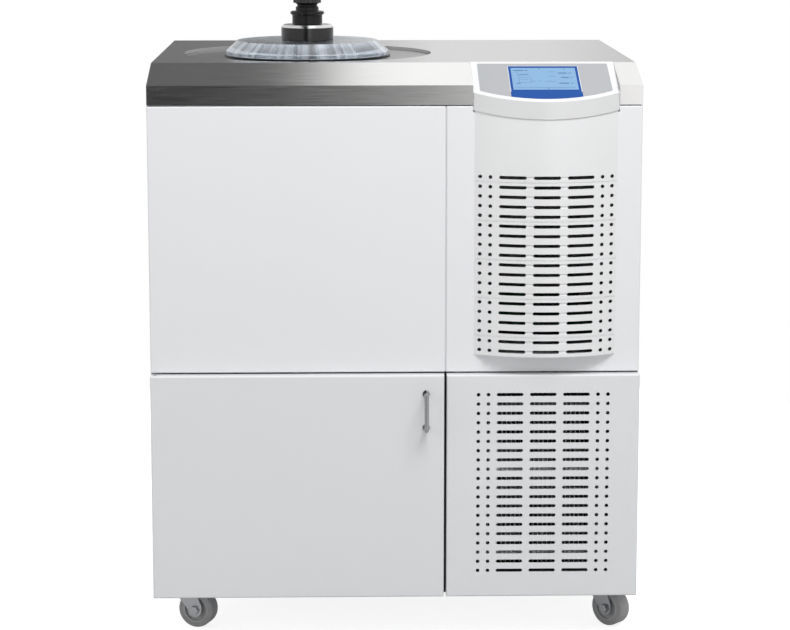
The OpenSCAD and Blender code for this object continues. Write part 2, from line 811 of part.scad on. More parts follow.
module power_inlet() {
    color("black") in_frame() translate([inlet_x, cabinet_d, 0]) difference() {
        union() {
            translate([-18, 0, inlet_z - 22]) cube([36, 3, 80]);
            translate([-14, -30, inlet_z - 18]) cube([28, 31, 72]);
        }
        difference() {
            translate([-11.5, -20, inlet_z - 13]) cube([23, 30, 26]);
            for (x = [-5, 0, 5]) translate([x - 1, -21, inlet_z - 3]) cube([2, 16, 6]);
        }
        translate([-7.5, -14, rocker_z - 11]) cube([15, 30, 22]);
        translate([0, 0, rocker_z]) rotate([0, 90, 0]) cylinder(h = 20, r = 1.56, center = true);
    }
}

module mains_rocker() {
    off_angle = 8;
    color("darkred") in_frame() translate([inlet_x, cabinet_d, rocker_z]) rotate([off_angle, 0, 0]) {
        intersection() {
            rotate([0, 90, 0]) cylinder(h = 14.2, r = 10.4, center = true);
            difference() {
                translate([-8, -7, -12]) cube([16, 13, 24]);
                translate([0, 42, 0]) rotate([0, 90, 0]) cylinder(h = 30, r = 38, center = true);
            }
        }
        rotate([0, 90, 0]) cylinder(h = 19, r = 1.5, center = true);
    }
}

// ---- Door ----

hinge_low_z = floor_z;
hinge_high_z = lower_top - 8;

module door() {
    width = half_w + seam_x - panel_gap + 1;
    color("white") in_frame() difference() {
        union() {
            translate([-half_w, -lower_proud, skirt_z]) folded_panel(width, lower_top - skirt_z, door_depth, 3);
            // return fold that meets the catch
            translate([-half_w + width - 18, 4 - sheet_t, skirt_z + 20])
                cube([17, sheet_t, lower_top - skirt_z - 40]);
        }
        // pivot holes and the cut-outs that let the hinge arms through the left fold
        translate([hinge_x, hinge_y, skirt_z - 5]) cylinder(h = lower_top - skirt_z + 10, r = 3.05);
        for (z = [hinge_low_z - 6, hinge_high_z - 6])
            translate([-half_w - 1, -lower_proud + sheet_t + 0.5, z]) cube([3.5, 30, 12]);
    }
}

module door_handle() {
    leg_gap = 55;
    bend = 8;
    rod_r = 3.5;
    reach = handle_reach - rod_r;
    color("silver") in_frame() translate([handle_x, -lower_proud, 380.5]) {
        for (s = [-1, 1]) {
            translate([0, 0, s * leg_gap / 2]) rotate([90, 0, 0]) cylinder(h = reach - bend, r = rod_r);
            translate([0, 0, s * leg_gap / 2]) rotate([90, 0, 0]) cylinder(h = 1.5, r = 6);
            translate([0, -reach + bend, s * (leg_gap / 2 - bend)]) rotate([0, 90, 0])
                rotate([0, 0, s > 0 ? 180 : 270]) rotate_extrude(angle = 90) translate([bend, 0]) circle(rod_r);
        }
        translate([0, -reach, -leg_gap / 2 + bend]) cylinder(h = leg_gap - 2 * bend, r = rod_r);
    }
}

// An arm that reaches from the cabinet through the door's left fold, with its pivot pin from pin_low to
// pin_high and a shoulder from low to high that carries the door
module hinge_arm(z, pin_low, pin_high, low, high) {
    translate([hinge_x - 4, hinge_y, z]) cube([9, 50, 3]);
    translate([hinge_x, hinge_y, z]) cylinder(h = 3, r = 4.5);
    translate([hinge_x, hinge_y, low]) cylinder(h = high - low, r = 4.5);
    translate([hinge_x, hinge_y, pin_low]) cylinder(h = pin_high - pin_low, r = 3);
}

module door_hinges() {
    bracket_y = lower_back + sheet_t + 1;
    shoulder_gap = sheet_t + 0.3;
    color("gray") in_frame() {
        hinge_arm(hinge_low_z, skirt_z - 0.5, hinge_low_z + 2, skirt_z + shoulder_gap, hinge_low_z + 1);
        hinge_arm(hinge_high_z, hinge_high_z + 1, lower_top + 1, hinge_high_z + 2, lower_top - shoulder_gap);
        translate([-wall_x, bracket_y, hinge_high_z]) cube([hinge_x + 5 + wall_x, 28, 3]);
        translate([-wall_x, bracket_y, hinge_high_z - 27]) cube([3, 28, 30]);
    }
}

module door_catch() {
    color("dimgray") in_frame() translate([seam_x - 20, 4.3, 320]) difference() {
        cube([16, lower_back - 4.3, 40]);
        for (z = [8, 32]) translate([8, -1, z]) rotate([-90, 0, 0]) cylinder(h = 10, r = 2);
    }
}

// ---- Casters ----

module caster_plates() {
    color("silver") in_frame() for (site = caster_sites) translate([site[1], site[2], 0]) {
        translate([-30, -30, base_z - 2.5]) cube([60, 60, 2.5]);
        translate([0, 0, fork_z + 4]) cylinder(h = base_z - fork_z - 6, r = 20);
        translate([0, 0, fork_z - 1]) cylinder(h = 8, r = 5);
        translate([0, 0, fork_z - 4]) cylinder(h = 3.7, r = 8);
    }
}

module at_caster(site) {
    in_frame() translate([site[1], site[2], 0]) rotate([0, 0, site[3]]) children();
}

// The fork, with its axle bolt as a separate solid
module caster_fork(site) {
    leg_in = wheel_w / 2 + 1.5;
    leg_r = 12;
    crown_r = 26;
    axle_z = wheel_d / 2;
    color("silver") at_caster(site) {
        difference() {
            union() {
                translate([0, 0, fork_z]) cylinder(h = 3.7, r = crown_r);
                translate([0, 0, fork_z]) difference() {
                    cylinder(h = 9, r = crown_r);
                    translate([0, 0, -1]) cylinder(h = 20, r = crown_r - 2);
                }
                for (s = [-1, 1]) translate([0, s * (leg_in + 1.25), 0]) along_y(2.5) {
                    polygon([
                        [-20, fork_z + 1], [20, fork_z + 1], [trail + leg_r, axle_z + 8],
                        [trail + leg_r, axle_z], [trail - leg_r, axle_z], [-9, fork_z - 14]
                    ]);
                    translate([trail, axle_z]) circle(leg_r);
                }
            }
            translate([0, 0, fork_z - 1]) cylinder(h = 20, r = 5.06);
            translate([trail, 0, axle_z]) rotate([90, 0, 0]) cylinder(h = 80, r = 4.05, center = true);
        }
        translate([trail, 0, axle_z]) rotate([90, 0, 0]) {
            cylinder(h = 2 * leg_in + 8, r = 4, center = true);
            for (s = [-1, 1]) translate([0, 0, s * (leg_in + 5.1)])
                cylinder(h = 5, r = 7.5, center = true, $fn = 6);
        }
    }
}

// The hub runs on the axle bolt
module caster_wheel(site) {
    rim_r = wheel_d / 2 - 8;
    color("darkgray") at_caster(site) translate([trail, 0, wheel_d / 2]) rotate([90, 0, 0]) difference() {
        translate([0, 0, -wheel_w / 2]) cylinder(h = wheel_w, r = rim_r);
        for (s = [-1, 1]) translate([0, 0, s * wheel_w / 2]) difference() {
            cylinder(h = 8, r = rim_r - 3, center = true);
            cylinder(h = 10, r = 8, center = true);
        }
        cylinder(h = 60, r = 4.06, center = true);
    }
}

module caster_tyre(site) {
    r = wheel_d / 2;
    crown = 2.5;
    color("gray") at_caster(site) translate([trail, 0, r]) rotate([90, 0, 0]) rotate_extrude() {
        translate([r - 8, -wheel_w / 2]) square([8 - crown, wheel_w]);
        translate([r - crown - 1, -wheel_w / 2 + crown]) square([crown + 1, wheel_w - 2 * crown]);
        for (s = [-1, 1]) translate([r - crown, s * (wheel_w / 2 - crown)]) circle(crown);
    }
}

base_tray();
left_side_panel();
right_side_panel();
rear_panel();
mid_deck();
partition_wall();
upper_front_panel();
console_panel();
console_cover();
display_head();
display_overlay();
display_screen();
grille_panel();
worktop();
vessel_rails();
condenser_vessel();
condenser_coil();
vessel_insulation();
lid_seal();
acrylic_lid();
lid_port();
valve_body();
valve_knob();
front_compressor();
rear_compressor();
finned_condenser();
fan_shroud();
fan_motor();
fan_rotor();
filter_drier();
refrigerant_lines();
vacuum_pump();
pump_motor();
exhaust_filter();
ballast_knob();
vacuum_line();
drain_pipe();
drain_valve();
drain_lever();
control_tray();
control_board();
power_inlet();
mains_rocker();
door();
door_handle();
door_hinges();
door_catch();
caster_plates();
for (site = caster_sites) {
    caster_fork(site);
    caster_wheel(site);
    caster_tyre(site);
}
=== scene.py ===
"""Looks of a floor-standing laboratory freeze dryer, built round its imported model.

Lengths are metres in the model's own frame: X runs across, Y from front to back and Z up from the floor.
Every sub-assembly is a class that holds its sizes, builds its meshes and dresses them with its finishes.
"""

import json
import logging
import math
from collections.abc import Callable, Iterable, Iterator, Sequence
from contextlib import contextmanager
from dataclasses import dataclass, field
from enum import Enum
from typing import Any, ClassVar

import bmesh
import bpy
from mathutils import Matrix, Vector

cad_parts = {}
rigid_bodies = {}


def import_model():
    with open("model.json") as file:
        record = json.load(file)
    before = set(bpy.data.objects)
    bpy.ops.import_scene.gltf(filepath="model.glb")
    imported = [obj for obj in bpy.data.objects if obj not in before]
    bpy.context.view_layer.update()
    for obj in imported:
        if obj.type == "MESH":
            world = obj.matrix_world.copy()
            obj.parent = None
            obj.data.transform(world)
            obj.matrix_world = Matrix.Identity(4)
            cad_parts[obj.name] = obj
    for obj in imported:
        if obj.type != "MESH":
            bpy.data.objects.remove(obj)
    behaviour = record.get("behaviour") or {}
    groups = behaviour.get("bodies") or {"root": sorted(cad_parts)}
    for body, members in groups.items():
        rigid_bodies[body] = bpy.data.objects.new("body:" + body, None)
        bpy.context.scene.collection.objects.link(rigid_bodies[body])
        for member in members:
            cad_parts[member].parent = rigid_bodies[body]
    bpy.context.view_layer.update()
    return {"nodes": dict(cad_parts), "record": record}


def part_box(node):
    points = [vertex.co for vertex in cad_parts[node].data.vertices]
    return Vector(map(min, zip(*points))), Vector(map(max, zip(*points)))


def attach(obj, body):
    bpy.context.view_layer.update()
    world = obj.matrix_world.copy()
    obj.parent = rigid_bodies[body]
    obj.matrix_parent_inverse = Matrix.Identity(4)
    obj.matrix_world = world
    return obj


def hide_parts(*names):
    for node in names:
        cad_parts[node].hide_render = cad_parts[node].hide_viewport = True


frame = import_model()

MM = 0.001
LOG = logging.getLogger("freeze_dryer")

Colour = tuple[float, float, float]
Point = tuple[float, float, float]
Piece = bpy.types.Object
Node = bpy.types.Node
Pairs = tuple[tuple[float, float], ...]
Mark = tuple[float, float, float, float]
WHITE = (1.0, 1.0, 1.0, 1.0)
ROD_FACETS = 8
WELD = 1e-6
UPWARD = 0.9
FLAT = 0.95
UNDERSIDE = -0.5


# ---- Shader maths ----


class Signal:
    """A number that a shader node puts out, with arithmetic that adds Math nodes."""

    def __init__(self, recipe: "Recipe", socket: bpy.types.NodeSocket) -> None:
        """Wraps an output socket of a recipe's node."""
        self.recipe = recipe
        self.socket = socket

    def _maths(self, operation: str, left: Any, right: Any) -> "Signal":
        """Adds a Math node on two values, each a Signal or a number."""
        return self.recipe.signal("ShaderNodeMath", {"operation": operation}, {0: left, 1: right})

    def __add__(self, other: Any) -> "Signal":
        """Adds a value to this one."""
        return self._maths("ADD", self, other)

    def __mul__(self, other: Any) -> "Signal":
        """Multiplies this value."""
        return self._maths("MULTIPLY", self, other)

    def __sub__(self, other: Any) -> "Signal":
        """Subtracts a value from this one."""
        return self._maths("SUBTRACT", self, other)

    def __rsub__(self, other: Any) -> "Signal":
        """Subtracts this value from a number."""
        return self._maths("SUBTRACT", other, self)

    __radd__ = __add__
    __rmul__ = __mul__

    def clamped(self) -> "Signal":
        """Returns this value held between 0 and 1."""
        return self.recipe.signal("ShaderNodeClamp", {}, {"Value": self})


class Recipe:
    """A node tree under construction, with one method that adds any node."""

    def __init__(self, owner: bpy.types.ID) -> None:
        """Starts an empty tree.

        Args:
            owner: the material or world whose node tree is filled.
        """
        owner.use_nodes = True
        self.tree = owner.node_tree
        self.tree.nodes.clear()

    def node(self, kind: str, settings: dict[str, Any], values: dict[Any, Any]) -> Node:
        """Adds one node.

        Args:
            kind: the node's Blender type.
            settings: its properties, set first; "stops" holds a ramp's positions and greys.
            values: its inputs by name or number: a Signal, a socket or a constant.

        Returns:
            The node.
        """
        made = self.tree.nodes.new(kind)
        for name, setting in settings.items():
            if name == "stops":
                self._fill_ramp(made.color_ramp, setting)
            else:
                setattr(made, name, setting)
        for name, value in values.items():
            if isinstance(value, Signal):
                value = value.socket
            if isinstance(value, bpy.types.NodeSocket):
                self.tree.links.new(value, made.inputs[name])
            else:
                made.inputs[name].default_value = value
        return made

    @staticmethod
    def _fill_ramp(ramp: bpy.types.ColorRamp, stops: Pairs) -> None:
        """Sets a colour ramp's stops.

        Args:
            ramp: the ramp.
            stops: position and grey level of each stop, in order.
        """
        while len(ramp.elements) < len(stops):
            ramp.elements.new(0.5)
        for element, (place, tone) in zip(ramp.elements, stops):
            element.position = place
            element.color = (tone, tone, tone, 1.0)

    def signal(self, kind: str, settings: dict[str, Any], values: dict[Any, Any], output: Any = 0) -> Signal:
        """Adds one node and wraps the output of that name or number."""
        return Signal(self, self.node(kind, settings, values).outputs[output])

    def coordinates(self, scale: Point = (1.0, 1.0, 1.0), shift: Point = (0.0, 0.0, 0.0)) -> Signal:
        """Gives Object coordinates through a Mapping node, scaled and moved along each axis."""
        place = self.signal("ShaderNodeTexCoord", {}, {}, "Object")
        return self.signal("ShaderNodeMapping", {}, {"Vector": place, "Scale": scale, "Location": shift})

    def noise(self, scale: float, detail: float = 2.0, stretch: Point = (1.0, 1.0, 1.0)) -> Signal:
        """Gives a noise field between 0 and 1.

        Args:
            scale: cells per metre.
            detail: octaves.
            stretch: scale along each axis on top of the first.

        Returns:
            The noise.
        """
        where = self.coordinates(stretch)
        values = {"Vector": where, "Scale": scale, "Detail": detail}
        return self.signal("ShaderNodeTexNoise", {}, values, "Fac")

    def blend(self, share: Any, low: Colour, high: Colour) -> Signal:
        """Mixes two colours: a share of 0 gives the first and 1 the second."""
        tones = {0: share, 6: self._rgba(low), 7: self._rgba(high)}
        return self.signal("ShaderNodeMix", {"data_type": "RGBA"}, tones, 2)

    @staticmethod
    def _rgba(tone: Any) -> Any:
        """Gives a colour its alpha, and leaves a Signal as it is."""
        return (*tone, 1.0) if isinstance(tone, tuple) and len(tone) == 3 else tone

    def bump(self, height: Signal, depth: float, strength: float = 1.0) -> Signal:
        """Gives a normal from a height field of 0 to 1 that is so many metres deep."""
        values = {"Height": height, "Distance": depth, "Strength": strength}
        return self.signal("ShaderNodeBump", {}, values, "Normal")

    def rays(self, *kinds: str) -> list[Signal]:
        """Gets Light Path's flag for each kind of ray, such as Camera."""
        path = self.node("ShaderNodeLightPath", {}, {})
        return [Signal(self, path.outputs[f"Is {kind} Ray"]) for kind in kinds]

    def principled(self, values: dict[str, Any]) -> Node:
        """Adds a Principled shader from its sockets by name."""
        return self.node("ShaderNodeBsdfPrincipled", {}, {name: self._rgba(v) for name, v in values.items()})

    def shader_mix(self, share: Signal, first: Node, second: Node) -> Node:
        """Mixes two shaders: a share of 0 gives the first and 1 the second."""
        return self.node("ShaderNodeMixShader", {}, {0: share, 1: first.outputs[0], 2: second.outputs[0]})

    def end(self, shader: Node, kind: str = "ShaderNodeOutputMaterial") -> None:
        """Leads a shader to the output of the material or the world."""
        self.node(kind, {}, {"Surface": shader.outputs[0]})

    def surface(self, values: dict[str, Any]) -> None:
        """Ends a material with a Principled shader from its sockets by name."""
        self.end(self.principled(values))


# ---- Finishes ----


def shaded(tone: Colour, factor: float) -> Colour:
    """Returns a colour multiplied by a factor, held under 1."""
    return tuple(min(1.0, part * factor) for part in tone)


@dataclass(frozen=True)
class Finish:
    """A surface finish that becomes one material, made when first asked for."""

    name: str
    colour: Colour
    _made: ClassVar[dict[str, bpy.types.Material]] = {}

    def material(self) -> bpy.types.Material:
        """Makes the finish's material when first asked for.

        Returns:
            The material.
        """
        if self.name not in Finish._made:
            made = bpy.data.materials.new(self.name)
            self.write(Recipe(made))
            Finish._made[self.name] = made
        return Finish._made[self.name]

    def write(self, recipe: Recipe) -> None:
        """Fills the material's nodes."""
        raise NotImplementedError

    def clouded(self, recipe: Recipe, share: Signal, low: float, high: float) -> Signal:
        """Returns the colour clouded between two factors of itself."""
        return recipe.blend(share, shaded(self.colour, low), shaded(self.colour, high))


@dataclass(frozen=True)
class PowderCoat(Finish):
    """Baked powder paint on sheet metal, with a fine orange peel."""

    roughness: float = 0.36
    peel: float = 420.0
    peel_depth: float = 0.00004

    def write(self, recipe: Recipe) -> None:
        """Fills the material's nodes.

        Args:
            recipe: the recipe to fill.
        """
        recipe.surface({
            "Base Color": self.clouded(recipe, recipe.noise(2.2, 3.0), 0.985, 1.01),
            "Roughness": recipe.noise(90.0) * 0.1 + (self.roughness - 0.05),
            "Coat Weight": 0.15,
            "Coat Roughness": 0.12,
            "Normal": recipe.bump(recipe.noise(self.peel), self.peel_depth, 0.6),
        })


@dataclass(frozen=True)
class MouldedPlastic(Finish):
    """Injection-moulded plastic with a fine spark-eroded grain."""

    roughness: float = 0.4
    grain: float = 1400.0
    grain_depth: float = 0.00003
    coat: float = 0.0

    def write(self, recipe: Recipe) -> None:
        """Fills the material's nodes.

        Args:
            recipe: the recipe to fill.
        """
        recipe.surface({
            "Base Color": self.clouded(recipe, recipe.noise(5.0), 0.97, 1.02),
            "Roughness": recipe.noise(60.0, 3.0) * 0.12 + (self.roughness - 0.06),
            "Coat Weight": self.coat,
            "Coat Roughness": 0.08,
            "Normal": recipe.bump(recipe.noise(self.grain), self.grain_depth, 0.5),
        })


class Grain(Enum):
    """The stretch of brushed lines or drawn marks along each axis."""

    ACROSS = (0.02, 1.0, 1.0)
    UP = (1.0, 1.0, 0.02)
    NONE = (1.0, 1.0, 1.0)


@dataclass(frozen=True)
class BrushedMetal(Finish):
    """Sheet metal with long fine brushing lines of two widths."""

    grain: Grain = Grain.ACROSS
    roughness: float = 0.24
    contrast: float = 0.1
    fine_lines: float = 1500.0
    broad_lines: float = 620.0
    line_depth: float = 0.00003

    def write(self, recipe: Recipe) -> None:
        """Fills the material's nodes.

        Args:
            recipe: the recipe to fill.
        """
        fine = recipe.noise(self.fine_lines, 3.0, self.grain.value)
        broad = recipe.noise(self.broad_lines, 2.0, self.grain.value)
        tone = (fine * 0.5 + broad * 0.4 + recipe.noise(4.0) * 0.1).clamped()
        recipe.surface({
            "Base Color": self.clouded(recipe, tone, 1.0 - self.contrast, 1.0 + self.contrast),
            "Metallic": 1.0,
            "Roughness": broad * 0.12 + (self.roughness - 0.06),
            "Normal": recipe.bump(fine * 0.75 + broad * 0.25, self.line_depth, 0.6),
        })


@dataclass(frozen=True)
class Galvanised(Finish):
    """Zinc-coated sheet with a faint crystal spangle."""

    roughness: float = 0.42
    spangle: float = 70.0

    def write(self, recipe: Recipe) -> None:
        """Fills the material's nodes.

        Args:
            recipe: the recipe to fill.
        """
        values = {"Vector": recipe.coordinates(), "Scale": self.spangle}
        cells = recipe.signal("ShaderNodeTexVoronoi", {}, values, "Color")
        grey = recipe.signal("ShaderNodeRGBToBW", {}, {0: cells})
        recipe.surface({
            "Base Color": self.clouded(recipe, grey, 0.88, 1.06),
            "Metallic": 0.9,
            "Roughness": grey * 0.14 + (self.roughness - 0.07),
            "Normal": recipe.bump(recipe.noise(240.0), 0.00003, 0.5),
        })


@dataclass(frozen=True)
class PolishedMetal(Finish):
    """Turned or drawn metal, polished, with faint tool marks and finger haze."""

    roughness: float = 0.1
    marks: Grain = Grain.NONE

    def write(self, recipe: Recipe) -> None:
        """Fills the material's nodes.

        Args:
            recipe: the recipe to fill.
        """
        haze = recipe.noise(35.0, 3.0)
        recipe.surface({
            "Base Color": self.clouded(recipe, haze, 0.94, 1.03),
            "Metallic": 1.0,
            "Roughness": haze * 0.08 + (self.roughness - 0.03),
            "Normal": recipe.bump(recipe.noise(1800.0, 1.0, self.marks.value), 0.00001, 0.4),
        })


@dataclass(frozen=True)
class Elastomer(Finish):
    """Moulded rubber with a soft bloom."""

    roughness: float = 0.5
    bloom: float = 0.25
    sheen: float = 0.5

    def write(self, recipe: Recipe) -> None:
        """Fills the material's nodes.

        Args:
            recipe: the recipe to fill.
        """
        dust = recipe.noise(28.0, 4.0)
        recipe.surface({
            "Specular IOR Level": self.sheen,
            "Base Color": self.clouded(recipe, dust * self.bloom, 1.0, 1.5),
            "Roughness": dust * 0.16 + (self.roughness - 0.08),
            "Normal": recipe.bump(recipe.noise(650.0, 3.0), 0.00006, 0.5),
        })


@dataclass(frozen=True)
class Enamel(Finish):
    """Machine enamel over a casting or a drawn shell."""

    roughness: float = 0.32
    lumps: float = 160.0
    lump_depth: float = 0.00012

    def write(self, recipe: Recipe) -> None:
        """Fills the material's nodes.

        Args:
            recipe: the recipe to fill.
        """
        recipe.surface({
            "Base Color": self.clouded(recipe, recipe.noise(9.0, 4.0), 0.85, 1.12),
            "Roughness": recipe.noise(40.0, 3.0) * 0.2 + (self.roughness - 0.1),
            "Coat Weight": 0.2,
            "Coat Roughness": 0.2,
            "Normal": recipe.bump(recipe.noise(self.lumps, 4.0), self.lump_depth, 0.6),
        })


@dataclass(frozen=True)
class ClearAcrylic(Finish):
    """Thick cast acrylic with polished faces, which lets light through to what lies under it."""

    roughness: float = 0.01
    bend: float = 1.49
    shade: Colour = (0.9, 0.93, 0.95)

    def write(self, recipe: Recipe) -> None:
        """Fills the material's nodes.

        Args:
            recipe: the recipe to fill.
        """
        solid = recipe.principled({
            "Base Color": self.colour,
            "Roughness": recipe.noise(14.0, 3.0) * 0.012 + self.roughness,
            "Transmission Weight": 1.0,
            "IOR": self.bend,
        })
        shadow, soft = recipe.rays("Shadow", "Diffuse")
        clear = recipe.node("ShaderNodeBsdfTransparent", {}, {"Color": (*self.shade, 1.0)})
        recipe.end(recipe.shader_mix((shadow + soft).clamped(), solid, clear))


@dataclass(frozen=True)
class PaintedReflectionAcrylic(Finish):
    """The lid's chamfer and top: clear acrylic mixed with a pale opaque coat as painted reflection of the
    bright room, streaked with painted glints round the axis.
    """

    # haze: the share of the faces that shows the painted reflection; dim and bright: the greys of the painted
    # glints.
    haze: float = 0.5
    dim: float = 0.42
    bright: float = 1.0
    bend: float = 1.49
    glint_count: float = 11.0

    def write(self, recipe: Recipe) -> None:
        """Fills the material's nodes.

        Args:
            recipe: the recipe to fill.
        """
        centre = middle_of("acrylic_lid")
        about = recipe.coordinates(shift=(-centre.x, -centre.y, 0.0))
        turn = recipe.signal("ShaderNodeTexGradient", {"gradient_type": "RADIAL"}, {"Vector": about}, "Fac")
        # Painted glints: light and dark streaks round the lid's axis, standing in for reflections and for the
        # port seen through the acrylic.
        values = {"W": turn * self.glint_count, "Detail": 1.5}
        painted_glints = recipe.signal("ShaderNodeTexNoise", {"noise_dimensions": "1D"}, values, "Fac")
        solid = recipe.principled({
            "Base Color": self.colour,
            "Roughness": 0.12,
            "Transmission Weight": 1.0,
            "IOR": self.bend,
        })
        # Painted reflection: an opaque pale coat in place of the room reflected in the acrylic.
        painted_reflection = recipe.principled({
            "Base Color": self.clouded(recipe, (painted_glints * 3.0 - 1.0).clamped(), self.dim, self.bright),
            "Roughness": 0.16,
            "Coat Weight": 0.8,
            "Coat Roughness": 0.05,
        })
        share = (recipe.noise(9.0) * 1.6 + (self.haze - 0.8)).clamped()
        recipe.end(recipe.shader_mix(share, solid, painted_reflection))


@dataclass(frozen=True)
class InsulatingFoam(Finish):
    """Rigid foam with open cut cells."""

    cells: float = 380.0
    cell_depth: float = 0.0006

    def write(self, recipe: Recipe) -> None:
        """Fills the material's nodes.

        Args:
            recipe: the recipe to fill.
        """
        values = {"Vector": recipe.coordinates(), "Scale": self.cells}
        cells = recipe.signal("ShaderNodeTexVoronoi", {}, values, "Distance")
        recipe.surface({
            "Base Color": self.clouded(recipe, recipe.noise(12.0, 4.0), 0.82, 1.0),
            "Roughness": 0.9,
            "Normal": recipe.bump(cells, self.cell_depth, 0.7),
        })


@dataclass(frozen=True)
class LitDisplay(Finish):
    """A backlit display field behind a clear window."""

    glow: float = 0.35

    def write(self, recipe: Recipe) -> None:
        """Fills the material's nodes.

        Args:
            recipe: the recipe to fill.
        """
        tone = self.clouded(recipe, recipe.noise(9.0), 0.93, 1.05)
        recipe.surface({
            "Base Color": tone,
            "Roughness": 0.3,
            "Specular IOR Level": 0.05,
            "Emission Color": tone,
            "Emission Strength": self.glow,
        })


@dataclass(frozen=True)
class CircuitBoard(Finish):
    """Solder-masked board with a faint pattern of tracks."""

    def write(self, recipe: Recipe) -> None:
        """Fills the material's nodes.

        Args:
            recipe: the recipe to fill.
        """
        values = {"Vector": recipe.coordinates(), "Scale": 120.0, "Mortar Size": 0.05, "Brick Width": 0.9}
        tracks = recipe.signal("ShaderNodeTexBrick", {"offset": 0.35}, values, "Fac")
        recipe.surface({
            "Base Color": self.clouded(recipe, tracks, 1.0, 2.2),
            "Roughness": recipe.noise(200.0) * 0.15 + 0.25,
            "Normal": recipe.bump(tracks, 0.00004, 0.6),
        })


PANEL_WHITE = PowderCoat("panel_white", (0.85, 0.855, 0.875))
# The panels' paint made darker as painted shade, for the lower door and grille panel that get less light from
# above.
SHADED_LOWER_WHITE = PowderCoat("door_white", (0.79, 0.8, 0.815))
CONSOLE_WHITE = MouldedPlastic("console_white", (0.84, 0.845, 0.85), 0.34, coat=0.2)
# A white made darker as painted shade for the display head, whose front lip lies in shade.
SHADED_HEAD_WHITE = MouldedPlastic("head_white_painted_shade", (0.75, 0.755, 0.76), 0.3, coat=0.3)
OVERLAY_GREY = MouldedPlastic("overlay_grey", (0.375, 0.385, 0.405), 0.42, 900.0)
STEEL_TOP = BrushedMetal("steel_top", (0.66, 0.655, 0.65), roughness=0.16)
# The worktop's stainless made darker as painted shade, for the flange down in the recess.
SHADED_STEEL_FLANGE = BrushedMetal("steel_flange_painted_shade", (0.36, 0.36, 0.36), roughness=0.3)
STEEL_TUBE = PolishedMetal("steel_tube", (0.6, 0.6, 0.6), 0.22)
ZINC_SHEET = Galvanised("zinc_sheet", (0.56, 0.57, 0.59))
ZINC_BRIGHT = PolishedMetal("zinc_bright", (0.62, 0.63, 0.64), 0.26)
FORK_STEEL = PolishedMetal("fork_steel", (0.4, 0.41, 0.425), 0.24)
HANDLE_CHROME = PolishedMetal("handle_chrome", (0.36, 0.36, 0.37), 0.12)
PORT_BLACK = MouldedPlastic("port_black", (0.012, 0.012, 0.013), 0.14, 500.0, 0.00001, coat=0.05)
PORT_RIM = PolishedMetal("port_rim", (0.85, 0.85, 0.86), 0.12)
BLACK_RUBBER = Elastomer("black_rubber", (0.01, 0.01, 0.01), 0.3, sheen=0.25)
BLACK_PLASTIC = MouldedPlastic("black_plastic", (0.016, 0.016, 0.017), 0.3, coat=0.3)
TYRE_GREY = Elastomer("tyre_grey", (0.35, 0.35, 0.355), 0.5)
HUB_GREY = MouldedPlastic("hub_grey", (0.46, 0.46, 0.465), 0.45)
COMPRESSOR_BLACK = Enamel("compressor_black", (0.018, 0.018, 0.019), 0.3)
PUMP_PAINT = Enamel("pump_paint", (0.1, 0.2, 0.34))
MOTOR_GREY = Enamel("motor_grey", (0.2, 0.21, 0.22), 0.4)
SHROUD_GREY = PowderCoat("shroud_grey", (0.09, 0.095, 0.1), 0.5)
COPPER = PolishedMetal("copper", (0.72, 0.37, 0.22), 0.24)
BRASS = PolishedMetal("brass", (0.74, 0.55, 0.28), 0.22)
FIN_ALUMINIUM = BrushedMetal("fin_aluminium", (0.7, 0.71, 0.72), Grain.UP, 0.34)
HOSE_GREY = Elastomer("hose_grey", (0.34, 0.34, 0.35), 0.45)
LEVER_RED = MouldedPlastic("lever_red", (0.45, 0.02, 0.015), 0.3, coat=0.4)
FOAM = InsulatingFoam("foam", (0.72, 0.66, 0.45))
BOARD_GREEN = CircuitBoard("board_green", (0.01, 0.09, 0.04))
ACRYLIC = ClearAcrylic("clear_acrylic", (0.97, 0.985, 1.0))
# The lid's chamfer and top, with painted reflection and painted glints.
ACRYLIC_RIM = PaintedReflectionAcrylic("acrylic_rim_painted_reflection", (0.84, 0.91, 1.0))
ACRYLIC_TOP = PaintedReflectionAcrylic("acrylic_top_painted_reflection", (0.84, 0.91, 1.0), haze=0.3, dim=0.7)
SEAT_FROST = MouldedPlastic("machined_acrylic", (0.86, 0.9, 0.94), 0.6)
DISPLAY_BLUE = LitDisplay("display_blue", (0.003, 0.06, 0.27), 0.12)
DISPLAY_SKY = LitDisplay("display_sky", (0.17, 0.3, 0.47), 0.3)
DISPLAY_INK = LitDisplay("display_ink", (0.05, 0.12, 0.25), 0.1)
DISPLAY_FAINT = LitDisplay("display_faint", (0.12, 0.22, 0.37), 0.2)
DISPLAY_EDGE = MouldedPlastic("display_edge", (0.72, 0.75, 0.8), 0.35)
OIL = MouldedPlastic("pump_oil", (0.35, 0.18, 0.03), 0.15, coat=0.8)
SCREW_STEEL = PolishedMetal("screw_steel", (0.58, 0.58, 0.59), 0.2)


# ---- Workshop: modelling operators ----


def deselect() -> None:
    """Deselects every object and leaves edit mode."""
    if bpy.context.object and bpy.context.object.mode != "OBJECT":
        bpy.ops.object.mode_set(mode="OBJECT")
    bpy.ops.object.select_all(action="DESELECT")


def pick(piece: Piece) -> Piece:
    """Makes one object the only selected and active one.

    Args:
        piece: the object.

    Returns:
        The same object.
    """
    deselect()
    piece.select_set(True)
    bpy.context.view_layer.objects.active = piece
    return piece


@contextmanager
def editing(piece: Piece) -> Iterator[None]:
    """Opens a piece in edit mode with all of it selected, and closes it afterwards.

    Args:
        piece: the object.

    Returns:
        A context for the with statement.
    """
    pick(piece)
    bpy.ops.object.mode_set(mode="EDIT")
    bpy.ops.mesh.select_all(action="SELECT")
    yield
    bpy.ops.object.mode_set(mode="OBJECT")


